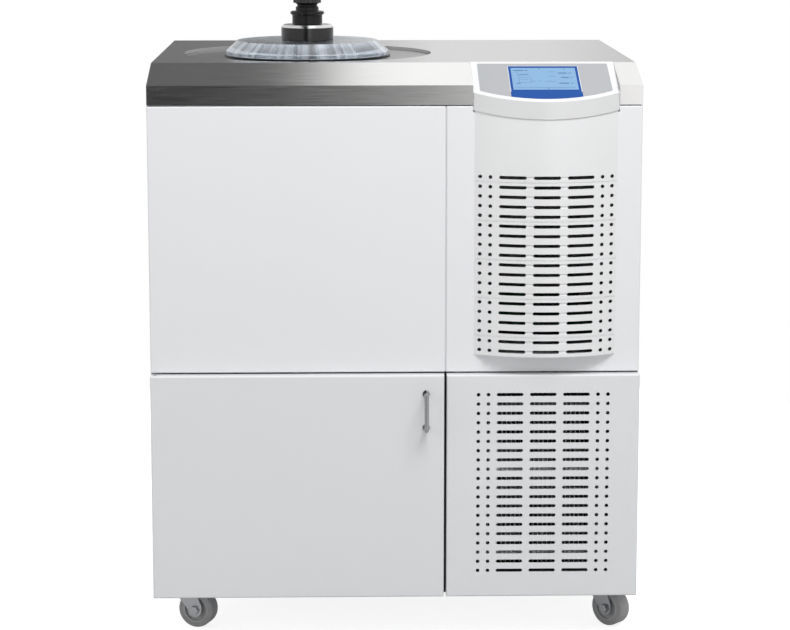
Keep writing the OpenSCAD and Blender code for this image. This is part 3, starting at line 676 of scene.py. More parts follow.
def settle(piece: Piece, smooth_under: float = 35.0) -> Piece:
    """Applies an object's place to its mesh and smooths its shading, with its large faces kept flat.

    Args:
        piece: the object.
        smooth_under: edges flatter than this angle shade smoothly, in degrees.

    Returns:
        The same object.
    """
    pick(piece)
    bpy.ops.object.transform_apply(location=True, rotation=True, scale=True)
    bpy.ops.object.shade_smooth_by_angle(angle=math.radians(smooth_under))
    fixed(piece, "WEIGHTED_NORMAL", {"mode": "FACE_AREA", "weight": 50, "keep_sharp": True})
    return piece


def fixed(piece: Piece, kind: str, settings: dict[str, Any]) -> None:
    """Adds one modifier and applies it.

    Args:
        piece: the object.
        kind: the modifier's type.
        settings: its properties.
    """
    pick(piece)
    added = piece.modifiers.new(kind.lower(), kind)
    for name, setting in settings.items():
        setattr(added, name, setting)
    bpy.ops.object.modifier_apply(modifier=added.name)


def softened(
    piece: Piece, width: float, segments: int = 2, angle: float = 30.0
) -> Piece:
    """Rounds a piece's sharp edges.

    Args:
        piece: the object.
        width: radius of the edge, in metres.
        segments: facets across the edge.
        angle: edges sharper than this are rounded, in degrees.

    Returns:
        The same object.
    """
    fixed(piece, "BEVEL", {
        "width": width,
        "segments": segments,
        "limit_method": "ANGLE",
        "angle_limit": math.radians(angle),
        "use_clamp_overlap": True,
        "harden_normals": False,
    })
    return piece


def outward(piece: Piece) -> Piece:
    """Merges a piece's doubles and turns its faces outwards.

    Args:
        piece: the object.

    Returns:
        The same object.
    """
    with editing(piece):
        bpy.ops.mesh.remove_doubles(threshold=WELD)
        bpy.ops.mesh.normals_make_consistent(inside=False)
    return piece


def copied(node: str, name: str) -> Piece:
    """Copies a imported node's mesh into a new piece, with its flat faces joined up.

    Args:
        node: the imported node.
        name: the new piece's name.

    Returns:
        The new piece.
    """
    pick(frame["nodes"][node])
    bpy.ops.object.duplicate(linked=False)
    piece = bpy.context.object
    piece.name = name
    bpy.ops.object.parent_clear(type="CLEAR_KEEP_TRANSFORM")
    with editing(piece):
        bpy.ops.mesh.remove_doubles(threshold=WELD)
        bpy.ops.mesh.dissolve_limited(angle_limit=math.radians(0.5))
    return piece


def turned(
    name: str,
    profile: Sequence[tuple[float, float]],
    centre: Point,
    steps: int = 96,
    closed: bool = False,
) -> Piece:
    """Turns a piece about a vertical axis, ring by ring.

    Args:
        name: the piece's name.
        profile: radius and height of each ring, from the bottom up the outside; a closed profile ends where
            it starts, and an open one is capped at both ends.
        centre: the point that heights and radii are measured from.
        steps: facets round the axis.
        closed: True for a ring with a hole.

    Returns:
        The piece.
    """
    deselect()
    first_r, first_z = profile[0]
    x, y, z = centre
    bpy.ops.mesh.primitive_circle_add(
        vertices=steps,
        radius=first_r,
        fill_type="NOTHING" if closed else "TRIFAN",
        location=(x, y, z + first_z),
        enter_editmode=True,
    )
    piece = bpy.context.object
    piece.name = name
    if not closed:
        bpy.ops.mesh.select_all(action="DESELECT")
        bpy.ops.mesh.select_non_manifold()
    last_r, last_z = first_r, first_z
    for radius, height in profile[1:]:
        ratio = radius / last_r
        bpy.ops.mesh.extrude_edges_move(TRANSFORM_OT_translate={"value": (0.0, 0.0, height - last_z)})
        bpy.ops.transform.resize(value=(ratio, ratio, 1.0), center_override=(x, y, z + height))
        last_r, last_z = radius, height
    if not closed:
        bpy.ops.mesh.edge_face_add()
    bpy.ops.object.mode_set(mode="OBJECT")
    return settle(outward(piece))


def block(name: str, low: Point, high: Point) -> Piece:
    """Makes a block between two corners.

    Args:
        name: the piece's name.
        low: its lowest corner.
        high: its highest corner.

    Returns:
        The piece.
    """
    deselect()
    middle = [(a + b) / 2 for a, b in zip(low, high)]
    bpy.ops.mesh.primitive_cube_add(size=1.0, location=middle, scale=[b - a for a, b in zip(low, high)])
    piece = settle(bpy.context.object)
    piece.name = name
    return piece


def rod(name: str, points: Sequence[Point], radius: float) -> Piece:
    """Sweeps a round rod along a path.

    Args:
        name: the piece's name.
        points: the path's points.
        radius: the rod's radius.

    Returns:
        The piece as a mesh.
    """
    deselect()
    line = bpy.data.curves.new(name, "CURVE")
    line.dimensions = "3D"
    line.bevel_depth = radius
    line.bevel_resolution = ROD_FACETS
    line.use_fill_caps = True
    spline = line.splines.new("POLY")
    spline.points.add(len(points) - 1)
    for place, point in zip(spline.points, points):
        place.co = (*point, 1.0)
    piece = bpy.data.objects.new(name, line)
    bpy.context.collection.objects.link(piece)
    pick(piece)
    bpy.ops.object.convert(target="MESH")
    return settle(outward(bpy.context.object))


def joined(name: str, parts: Sequence[Piece]) -> Piece:
    """Joins pieces into one object.

    Args:
        name: the joined piece's name.
        parts: the pieces.

    Returns:
        The joined piece.
    """
    deselect()
    for part in parts:
        part.select_set(True)
    bpy.context.view_layer.objects.active = parts[0]
    if len(parts) > 1:
        bpy.ops.object.join()
    whole = bpy.context.object
    whole.name = name
    return whole


def dressed(piece: Piece, *finishes: Finish) -> Piece:
    """Gives a piece its materials.

    Args:
        piece: the object.
        finishes: one finish for each slot, in order.

    Returns:
        The same object.
    """
    piece.data.materials.clear()
    for finish in finishes:
        piece.data.materials.append(finish.material())
    return piece


def finish_faces(piece: Piece, slot: int, wanted: Callable[[Vector, Vector], bool]) -> None:
    """Gives some of a piece's faces another material slot.

    Args:
        piece: the object.
        slot: the slot's number.
        wanted: says yes to a face from its centre and its normal.
    """
    for face in piece.data.polygons:
        if wanted(face.center, face.normal):
            face.material_index = slot


def body_of_node(node: str) -> str:
    """Finds the body that holds a node.

    Args:
        node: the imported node.

    Returns:
        The body's name.
    """
    for body, members in frame["record"]["behaviour"]["bodies"].items():
        if node in members:
            return body
    raise KeyError(node)


def stands_for(piece: Piece, node: str) -> None:
    """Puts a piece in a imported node's place.

    Args:
        piece: the piece.
        node: the node that it replaces.
    """
    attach(piece, body_of_node(node))
    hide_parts(node)
    LOG.info("%s stands for %s", piece.name, node)


def rides_with(piece: Piece, node: str) -> None:
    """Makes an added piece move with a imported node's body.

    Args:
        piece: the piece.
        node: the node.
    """
    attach(piece, body_of_node(node))
    LOG.info("%s rides with %s", piece.name, node)


def soft_copy(
    node: str,
    name: str,
    finish: Finish,
    width: float,
    segments: int = 2,
    angle: float = 30.0,
    smooth_under: float = 40.0,
) -> None:
    """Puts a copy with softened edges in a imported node's place.

    Args:
        node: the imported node.
        name: the copy's name.
        finish: its finish.
        width: radius of its edges.
        segments: facets across an edge.
        angle: edges sharper than this are rounded, in degrees.
        smooth_under: edges flatter than this angle shade smoothly, in degrees.
    """
    piece = softened(copied(node, name), width, segments, angle)
    settle(piece, smooth_under)
    stands_for(dressed(piece, finish), node)


def recoat(finish: Finish, *nodes: str) -> None:
    """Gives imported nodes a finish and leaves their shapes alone.

    Args:
        finish: the finish.
        nodes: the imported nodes.
    """
    for node in nodes:
        dressed(frame["nodes"][node], finish)
        LOG.info("%s keeps its shape", node)


def middle_of(node: str) -> Vector:
    """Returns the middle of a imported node's box."""
    low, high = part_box(node)
    return (Vector(low) + Vector(high)) / 2


# ---- Cabinet ----


@dataclass
class Cabinet:
    """The painted sheet-metal case, the inner sheets, the joint strip and the rear fasteners."""

    edge: float = 0.5 * MM
    joint_play: float = 0.1 * MM
    joint_depth: float = 3.2 * MM
    joint_end: float = 1.0 * MM
    screw_r: float = 3.6 * MM
    screw_pitch: float = 0.125
    screw_inset: float = 0.01
    screw_end: float = 0.02
    row_inset: float = 0.014
    row_x: tuple[float, ...] = (-0.2, 0.0, 0.2)

    def build(self) -> None:
        """Builds and dresses every piece of the case."""
        soft_copy("upper_front_panel", "upper_front_panel_coated", PANEL_WHITE, self.edge)
        soft_copy("console_panel", "console_panel_coated", PANEL_WHITE, self.edge)
        soft_copy("grille_panel", "grille_panel_coated", SHADED_LOWER_WHITE, self.edge)
        recoat(PANEL_WHITE, "left_side_panel", "right_side_panel", "rear_panel")
        recoat(ZINC_SHEET, "base_tray", "mid_deck", "partition_wall", "vessel_rails")
        self.joint_strip()
        self.rear_screws()

    def joint_strip(self) -> None:
        """Lays the white strip in the joint between the two upper front panels."""
        right_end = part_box("upper_front_panel")[1]
        left_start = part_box("console_panel")[0]
        low = (
            right_end[0] + self.joint_play, left_start[1] + self.joint_depth, left_start[2] + self.joint_end
        )
        high = (left_start[0] - self.joint_play, right_end[1], right_end[2] - self.joint_end)
        rides_with(dressed(block("joint_strip", low, high), PANEL_WHITE), "console_panel")

    def rear_screws(self) -> None:
        """Adds the pan-head screws round the rear panel."""
        low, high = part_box("rear_panel")
        y = high[1]
        spots = []
        count = round((high[2] - low[2]) / self.screw_pitch)
        run = high[2] - low[2] - 2 * self.screw_end
        for i in range(count + 1):
            z = low[2] + self.screw_end + i * run / count
            spots += [(low[0] + self.screw_inset, z), (high[0] - self.screw_inset, z)]
        for x in self.row_x:
            spots += [(x, low[2] + self.row_inset), (x, high[2] - self.row_inset)]
        heads = [screw_head("rear_screw", (x, y, z), (0.0, 1.0, 0.0), self.screw_r) for x, z in spots]
        rides_with(dressed(joined("rear_screws", heads), SCREW_STEEL), "rear_panel")


def screw_head(name: str, foot: Point, out: Point, radius: float) -> Piece:
    """Makes a pan-head screw with a round recess.

    Args:
        name: the screw's name.
        foot: the point where the head's underside meets the sheet.
        out: unit vector that the head faces.
        radius: the head's radius.

    Returns:
        The screw's head.
    """
    deselect()
    height, round_r, ring, recess = (radius * share for share in (0.7, 0.3, 0.28, 0.25))
    bpy.ops.mesh.primitive_cylinder_add(
        vertices=16, radius=radius, depth=height, location=(0.0, 0.0, height / 2)
    )
    head = bpy.context.object
    head.name = name
    with editing(head):
        shape = bmesh.from_edit_mesh(head.data)
        for face in shape.faces:
            face.select_set(face.normal.z > UPWARD)
        bmesh.update_edit_mesh(head.data)
        bpy.ops.mesh.bevel(offset=round_r, segments=2, affect="EDGES")
        bpy.ops.mesh.select_all(action="DESELECT")
        shape = bmesh.from_edit_mesh(head.data)
        top = max((f for f in shape.faces if f.normal.z > UPWARD), key=lambda f: f.calc_area())
        top.select_set(True)
        bmesh.update_edit_mesh(head.data)
        bpy.ops.mesh.inset(thickness=ring)
        bpy.ops.transform.translate(value=(0.0, 0.0, -recess))
    head.rotation_mode = "QUATERNION"
    head.rotation_quaternion = Vector((0.0, 0.0, 1.0)).rotation_difference(Vector(out))
    head.location = foot
    return settle(head)


# ---- Door ----


@dataclass
class PumpDoor:
    """The pump compartment's door with its bow handle, pivots and catch."""

    edge: float = 0.5 * MM
    rod_r: float = 3.5 * MM
    bend_r: float = 8.0 * MM
    bend_steps: int = 10
    foot_steps: int = 32
    foot_profile: Pairs = ((0.96, 0.0), (1.0, 0.3), (1.0, 1.2), (0.85, 1.5))
    strip_lap: float = 0.8 * MM
    strip_depth: float = 0.5 * MM
    strip_play: float = 0.2 * MM
    strip_end: float = 2.0 * MM

    def build(self) -> None:
        """Builds and dresses the door's pieces."""
        soft_copy("door", "door_leaf", SHADED_LOWER_WHITE, self.edge)
        stands_for(dressed(self.bow_handle(), HANDLE_CHROME), "door_handle")
        recoat(ZINC_BRIGHT, "door_hinges")
        recoat(BLACK_PLASTIC, "door_catch")
        # The black strip behind the door's gap is painted shade: a dark sheet where the real gap has only
        # shade.
        rides_with(dressed(self.gap_shade_strip(), BLACK_RUBBER), "partition_wall")

    def gap_shade_strip(self) -> Piece:
        """Lays a black strip behind the gap at the door's free edge, as painted shade that keeps the gap
        dark.

        Returns:
            The strip.
        """
        door_low, door_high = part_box("door")
        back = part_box("partition_wall")[0][1]
        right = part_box("grille_panel")[0][0]
        low = (door_high[0] - self.strip_lap, door_high[1] + self.strip_depth, door_low[2] + self.strip_end)
        high = (right - self.strip_play, back - self.strip_play, door_high[2] - self.strip_end)
        return block("gap_shade_strip", low, high)

    def bow_handle(self) -> Piece:
        """Sweeps the bow and turns its two foot washers.

        Returns:
            The handle.
        """
        low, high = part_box("door_handle")
        x = (low[0] + high[0]) / 2
        front, back = low[1] + self.rod_r, high[1]
        foot_r = (high[0] - low[0]) / 2
        bottom, top = low[2] + foot_r, high[2] - foot_r
        path = [(x, back, bottom)]
        path += self.quarter(x, front + self.bend_r, bottom + self.bend_r, 0.0)
        path += self.quarter(x, front + self.bend_r, top - self.bend_r, 90.0)
        path.append((x, back, top))
        parts = [rod("bow", path, self.rod_r)]
        profile = [(foot_r * share, height * MM) for share, height in self.foot_profile]
        for z in (bottom, top):
            washer = turned("handle_foot", profile, (0.0, 0.0, 0.0), self.foot_steps)
            washer.rotation_euler = (math.radians(90.0), 0.0, 0.0)
            washer.location = (x, back, z)
            parts.append(settle(washer))
        return joined("bow_handle", parts)

    def quarter(self, x: float, y: float, z: float, start: float) -> list[Point]:
        """Gives the points of one quarter bend in the handle.

        Args:
            x: the handle's X.
            y: the bend centre's Y.
            z: the bend centre's Z.
            start: the bend's first angle, in degrees; 0 points down.

        Returns:
            The bend's points.
        """
        points = []
        for i in range(self.bend_steps + 1):
            angle = math.radians(start + 90.0 * i / self.bend_steps)
            points.append((x, y - self.bend_r * math.sin(angle), z - self.bend_r * math.cos(angle)))
        return points


# ---- Console ----


@dataclass
class Console:
    """The louvred cover, the display head, its grey overlay and the display."""

    edge: float = 0.7 * MM
    head_edge: float = 2.2 * MM
    tilt: float = math.radians(20.9)
    active_half: float = 51.5 * MM
    active_top: float = 23.5 * MM
    active_end: float = 103.0 * MM
    screen_half: float = 56.0
    screen_top: float = 16.6
    screen_side_end: float = 110.0
    line: float = 0.9
    film: float = 0.12 * MM
    face_lift: float = -0.2 * MM
    ink_layer: float = 1.8
    faint_layer: float = 0.9
    notch_play: float = 0.9 * MM
    notch_drop: float = 0.98
    notch_sill: float = 2.8 * MM
    notch_lap: float = 2.0 * MM
    notch_depth: float = 1.0 * MM
    ink_marks: list[Mark] = field(default_factory=lambda: [
        (-40, 33, 16, 2.2), (-27, 33, 5, 1.6), (30, 43, 14, 2.4), (42, 43, 5, 1.4),
        (33, 59, 12, 2.4), (43, 59, 4, 1.4), (30, 80, 16, 2.4), (43, 80, 4, 1.4),
        (-6, 27, 1.4, 3.5), (34, 27, 1.4, 3.5), (4, 99.5, 1.4, 3.5),
    ])
    faint_marks: list[Mark] = field(default_factory=lambda: [
        (13, 38, 12, 1.2), (12, 54, 12, 1.2), (10, 73, 18, 1.4), (-32, 48, 15, 5.0),
        (-42, 44, 1.0, 14), (-40, 51, 5, 1.0), (-31, 59, 19, 1.0), (-40.5, 68, 1.0, 18),
        (-21.5, 68, 1.0, 18), (-31, 77, 19, 1.0), (-31, 66, 13, 1.0), (-42, 80, 7, 5.0),
        (-18, 72, 8, 1.2), (-8, 72, 6, 1.2), (0, 95, 96, 1.4),
    ])

    def build(self) -> None:
        """Builds and dresses the console's pieces."""
        soft_copy("console_cover", "louvred_cover", CONSOLE_WHITE, self.edge)
        rides_with(dressed(self.notch_lining(), SHADED_HEAD_WHITE), "display_head")
        soft_copy("display_head", "display_housing", SHADED_HEAD_WHITE, self.head_edge, 3, 25.0)
        recoat(OVERLAY_GREY, "display_overlay")
        recoat(DISPLAY_BLUE, "display_screen")
        self.picture()

    def notch_lining(self) -> Piece:
        """Lines the joint between the head and its notch, a little under the surface.

        Returns:
            The lining.
        """
        low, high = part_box("display_head")
        panel_low, panel_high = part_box("console_panel")
        front = panel_low[1] + self.notch_depth
        middle = tuple((a + b) / 2 for a, b in zip(low, high))
        wider = 1.0 + 2 * self.notch_play / (high[0] - low[0])
        sides = copied("display_head", "notch_sides")
        with editing(sides):
            bpy.ops.transform.resize(value=(wider, self.notch_drop, self.notch_drop), center_override=middle)
            bpy.ops.mesh.bisect(
                plane_co=(0.0, front, 0.0), plane_no=(0.0, 1.0, 0.0), use_fill=True, clear_inner=True
            )
        sill = block(
            "notch_sill",
            (low[0] - self.notch_play, front, low[2] - self.notch_sill),
            (high[0] + self.notch_play, panel_high[1], low[2] + self.notch_lap),
        )
        return joined("notch_lining", [settle(sides), sill])

    def on_face(self, across: float, down: float, lift: float) -> Point:
        """Gives a point on the sloped display face.

        Args:
            across: distance to the right of its middle.
            down: distance down the slope from its back edge.
            lift: height over the face.

        Returns:
            The point.
        """
        low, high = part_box("display_head")
        x = (low[0] + high[0]) / 2 + across
        y = high[1] - down * math.cos(self.tilt) - lift * math.sin(self.tilt)
        z = high[2] - down * math.sin(self.tilt) + lift * math.cos(self.tilt)
        return (x, y, z)

    def tile(
        self, name: str, across: float, down: float, width: float, height: float, lift: float
    ) -> Piece:
        """Lays a thin film on the display face.

        Args:
            name: the film's name.
            across: its middle, to the right of the face's middle.
            down: its middle, down the slope.
            width: its width.
            height: its height along the slope.
            lift: height of its underside over the face.

        Returns:
            The film.
        """
        deselect()
        bpy.ops.mesh.primitive_cube_add(
            size=1.0,
            location=self.on_face(across, down, lift + self.film / 2),
            rotation=(self.tilt, 0.0, 0.0),
            scale=(width, height, self.film),
        )
        film = bpy.context.object
        film.name = name
        return settle(film)

    def picture(self) -> None:
        """Lays the lit field, its plain marks and the pale border on the display."""
        middle = (self.active_top + self.active_end) / 2
        height = self.active_end - self.active_top
        lit = self.tile("display_field", 0.0, middle, 2 * self.active_half, height, self.face_lift)
        rides_with(dressed(lit, DISPLAY_SKY), "display_screen")
        self.film_set("display_marks", self.ink_marks, self.ink_layer, DISPLAY_INK)
        self.film_set("display_lines", self.faint_marks, self.faint_layer, DISPLAY_FAINT)
        down = (self.screen_top + self.screen_side_end) / 2
        length = self.screen_side_end - self.screen_top
        half = self.screen_half
        border = [
            (0.0, self.screen_top, 2 * half, self.line), (-half, down, self.line, length),
            (half, down, self.line, length),
        ]
        self.film_set("display_border", border, 0.0, DISPLAY_EDGE)

    def film_set(self, name: str, marks: Sequence[Mark], layer: float, finish: Finish) -> None:
        """Lays a set of thin films on the display as one piece.

        Args:
            name: the piece's name.
            marks: each film's place across and down, its width and its height, in millimetres.
            layer: height of the undersides over the face, in film thicknesses.
            finish: the films' finish.
        """
        lift = self.face_lift + self.film * layer
        films = [self.tile("film", a * MM, d * MM, w * MM, h * MM, lift) for a, d, w, h in marks]
        rides_with(dressed(joined(name, films), finish), "display_screen")


# ---- Worktop, chamber and lid ----


@dataclass
class Worktop:
    """The folded stainless worktop."""

    edge: float = 1.1 * MM

    def build(self) -> None:
        """Builds and dresses the worktop."""
        soft_copy("worktop", "steel_worktop", STEEL_TOP, self.edge, 3, 12.0, 30.0)


@dataclass
class Chamber:
    """The ice chamber with its coil, foam jacket and seal."""

    seal_width: float = 12.5 * MM
    seal_h: float = 3.0 * MM
    skirt_h: float = 4.0 * MM
    skirt_t: float = 1.2 * MM
    lip: float = 0.5 * MM
    lip_h: float = 0.6 * MM
    steps: int = 160

    def build(self) -> None:
        """Builds and dresses the chamber's pieces."""
        recoat(SHADED_STEEL_FLANGE, "condenser_vessel")
        recoat(STEEL_TUBE, "condenser_coil")
        recoat(FOAM, "vessel_insulation")
        stands_for(dressed(self.seal(), BLACK_RUBBER), "lid_seal")

    def seal(self) -> Piece:
        """Turns the seal with its rounded lips.

        Returns:
            The seal.
        """
        low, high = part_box("lid_seal")
        centre = middle_of("lid_seal")
        outer = (high[0] - low[0]) / 2
        inner = outer - self.seal_width
        skirt = inner + self.skirt_t
        height = self.seal_h
        profile = [
            (inner, -self.skirt_h), (skirt, -self.skirt_h), (skirt, 0.0), (outer - self.lip, 0.0),
            (outer, self.lip_h), (outer, height - self.lip_h), (outer - self.lip, height),
            (inner + self.lip, height), (inner, height - self.lip), (inner, -self.skirt_h),
        ]
        return turned("rubber_seal", profile, (centre.x, centre.y, high[2] - height), self.steps, closed=True)


@dataclass
class Lid:
    """The clear lid, the port on it and the valve with its knob."""

    chamfer_run: float = 19.5 * MM
    chamfer_rise: float = 17.5 * MM
    chamfer_lap: float = 1.0 * MM
    polish: float = 0.5 * MM
    seat_gap: float = 0.15 * MM
    seat_r: float = 116.0 * MM
    seat_lap: float = 0.2 * MM
    bore_r: float = 14.0 * MM
    lid_steps: int = 192
    rim: float = 4.0 * MM
    port_edge: float = 0.6 * MM
    port_bore_r: float = 10.0 * MM
    sleeve_r: float = 13.9 * MM
    nut_r: float = 18.0 * MM
    nut_h: float = 6.0 * MM
    port_steps: int = 128
    knob_edge: float = 0.8 * MM
    valve_steps: Pairs = (
        (24, 0), (24, 1), (25.0, 1), (25.5, 1.6), (25.5, 15.2), (26.4, 16.6), (28.2, 17.6), (28.7, 18.4),
        (28.7, 20.6), (28.2, 21.6), (26.6, 22.5), (20.4, 22.5), (19.5, 23.4), (19.5, 28.6), (18.4, 30.0),
        (17.2, 31.0), (17, 31.8), (17, 33.0), (17.8, 34.4), (20.2, 35.9), (21, 36.3), (6.06, 36.3),
        (6.06, 14.0),
    )

    def build(self) -> None:
        """Builds and dresses the lid's pieces."""
        stands_for(self.clear_disc(), "acrylic_lid")
        stands_for(self.port(), "lid_port")
        stands_for(dressed(self.valve(), BLACK_RUBBER), "valve_body")
        soft_copy("valve_knob", "turning_knob", BLACK_PLASTIC, self.knob_edge)

    def clear_disc(self) -> Piece:
        """Turns the clear lid with its broad chamfer.

        Returns:
            The lid.
        """
        low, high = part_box("acrylic_lid")
        centre = middle_of("acrylic_lid")
        r = (high[0] - low[0]) / 2
        h = high[2] - low[2]
        p = self.polish
        lift = self.seat_gap
        shoulder = h - self.chamfer_rise
        top_r = r - self.chamfer_run
        profile = [
            (self.bore_r, lift), (self.seat_r, lift), (r - p, lift), (r, lift + p),
            (r, shoulder - p * 0.5), (r - p * 0.5, shoulder + p * 0.2), (top_r + p, h - p * 0.7),
            (top_r - p, h), (self.bore_r, h), (self.bore_r, lift),
        ]
        disc = turned("clear_lid", profile, (centre.x, centre.y, low[2]), self.lid_steps, closed=True)
        dressed(disc, ACRYLIC, SEAT_FROST, ACRYLIC_RIM, ACRYLIC_TOP)

        def away(spot: Vector) -> float:
            """Returns a point's distance from the lid's axis."""
            return math.dist(spot[:2], centre[:2])

        seat = self.seat_r + self.seat_lap
        edge = top_r - self.chamfer_lap
        finish_faces(disc, 1, lambda spot, normal: normal.z < -UPWARD and away(spot) > seat)
        finish_faces(disc, 2, lambda spot, normal: UNDERSIDE < normal.z < FLAT and away(spot) > edge)
        finish_faces(disc, 3, lambda spot, normal: normal.z > FLAT)
        return disc

    def port(self) -> Piece:
        """Turns the black port with its bright bevelled rim.

        Returns:
            The port.
        """
        low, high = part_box("lid_port")
        centre = middle_of("lid_port")
        r = (high[0] - low[0]) / 2
        lid_low, lid_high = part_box("acrylic_lid")
        foot = lid_high[2]
        top = high[2] - foot
        under = lid_low[2] - foot
        nut = under - self.nut_h
        e = self.port_edge
        gap = self.seat_gap
        profile = [
            (self.port_bore_r, nut), (self.nut_r, nut), (self.nut_r, under), (self.sleeve_r, under),
            (self.sleeve_r, gap), (r - e, gap), (r, e + gap), (r, top - self.rim - e),
            (r - 0.2 * MM, top - self.rim), (r - self.rim + 0.3 * MM, top - 0.3 * MM),
            (r - self.rim - 0.5 * MM, top), (self.port_bore_r, top), (self.port_bore_r, nut),
        ]
        port = turned("turned_port", profile, (centre.x, centre.y, foot), self.port_steps, closed=True)
        dressed(port, PORT_BLACK, PORT_RIM)
        bright_from = high[2] - self.rim - 0.8 * MM
        finish_faces(port, 1, lambda spot, normal: spot.z > bright_from)
        return port

    def valve(self) -> Piece:
        """Turns the rubber valve body with its lips.

        Returns:
            The valve body.
        """
        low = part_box("valve_body")[0]
        centre = middle_of("valve_body")
        profile = [(r * MM, h * MM) for r, h in self.valve_steps]
        return turned("rubber_valve", profile, (centre.x, centre.y, low[2]))


# ---- Casters ----


@dataclass
class Casters:
    """Four swivel casters: plates, forks with axle bolts, hubs and tyres."""

    corners: tuple[str, ...] = ("front_left", "front_right", "rear_left", "rear_right")
    edge: float = 0.5 * MM

    def build(self) -> None:
        """Builds and dresses the casters."""
        recoat(ZINC_BRIGHT, "caster_plates")
        for corner in self.corners:
            soft_copy("fork_" + corner, "pressed_fork_" + corner, FORK_STEEL, self.edge)
            recoat(HUB_GREY, "wheel_" + corner)
            recoat(TYRE_GREY, "tyre_" + corner)


# ---- Refrigeration, vacuum and electrics ----


@dataclass
class Refrigeration:
    """Compressors, finned condenser with its fan, drier and lines."""

    def build(self) -> None:
        """Dresses the refrigeration pieces."""
        recoat(COMPRESSOR_BLACK, "front_compressor", "rear_compressor")
        recoat(FIN_ALUMINIUM, "finned_condenser", "fan_rotor")
        recoat(SHROUD_GREY, "fan_shroud")
        recoat(BLACK_PLASTIC, "fan_motor")
        recoat(COPPER, "filter_drier", "refrigerant_lines")


@dataclass
class VacuumSystem:
    """The pump set with its oil sight glass and cover bolts, its line, and the chamber's drain."""

    glass_r: float = 11.6 * MM
    glass_z: float = 160.0 * MM
    glass_t: float = 3.0 * MM
    glass_back: float = 2.4 * MM
    glass_edge: float = 0.6 * MM
    glass_steps: int = 48
    cover_back: float = 7.0 * MM
    bolt_r: float = 4.5 * MM
    bolt_half: float = 60.0 * MM
    bolt_rows: tuple[float, float] = (113.0 * MM, 273.0 * MM)

    def build(self) -> None:
        """Dresses the vacuum and drain pieces."""
        recoat(PUMP_PAINT, "vacuum_pump")
        recoat(MOTOR_GREY, "pump_motor")
        recoat(STEEL_TUBE, "exhaust_filter", "vacuum_line")
        recoat(BLACK_PLASTIC, "ballast_knob")
        recoat(HOSE_GREY, "drain_pipe")
        recoat(BRASS, "drain_valve")
        recoat(LEVER_RED, "drain_lever")
        self.pump_front()

    def pump_front(self) -> None:
        """Adds the oil sight glass and the cover bolts on the pump's front."""
        low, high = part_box("vacuum_pump")
        x = (low[0] + high[0]) / 2
        deselect()
        bpy.ops.mesh.primitive_cylinder_add(
            vertices=self.glass_steps,
            radius=self.glass_r,
            depth=self.glass_t,
            location=(x, low[1] + self.glass_back, self.glass_z),
            rotation=(math.radians(90.0), 0.0, 0.0),
        )
        glass = bpy.context.object
        glass.name = "oil_glass"
        softened(glass, self.glass_edge, 3)
        rides_with(dressed(settle(glass), OIL), "vacuum_pump")
        face = low[1] + self.cover_back
        spots = [(x + side * self.bolt_half, face, z) for side in (-1.0, 1.0) for z in self.bolt_rows]
        bolts = [screw_head("cover_bolt", spot, (0.0, -1.0, 0.0), self.bolt_r) for spot in spots]
        rides_with(dressed(joined("cover_bolts", bolts), SCREW_STEEL), "vacuum_pump")


@dataclass
class Electrics:
    """The control tray and board, the mains inlet and its switch."""

    def build(self) -> None:
        """Dresses the electrical pieces."""
        recoat(ZINC_SHEET, "control_tray")
        recoat(BOARD_GREEN, "control_board")
        recoat(BLACK_PLASTIC, "power_inlet", "mains_rocker")


# ---- Studio ----


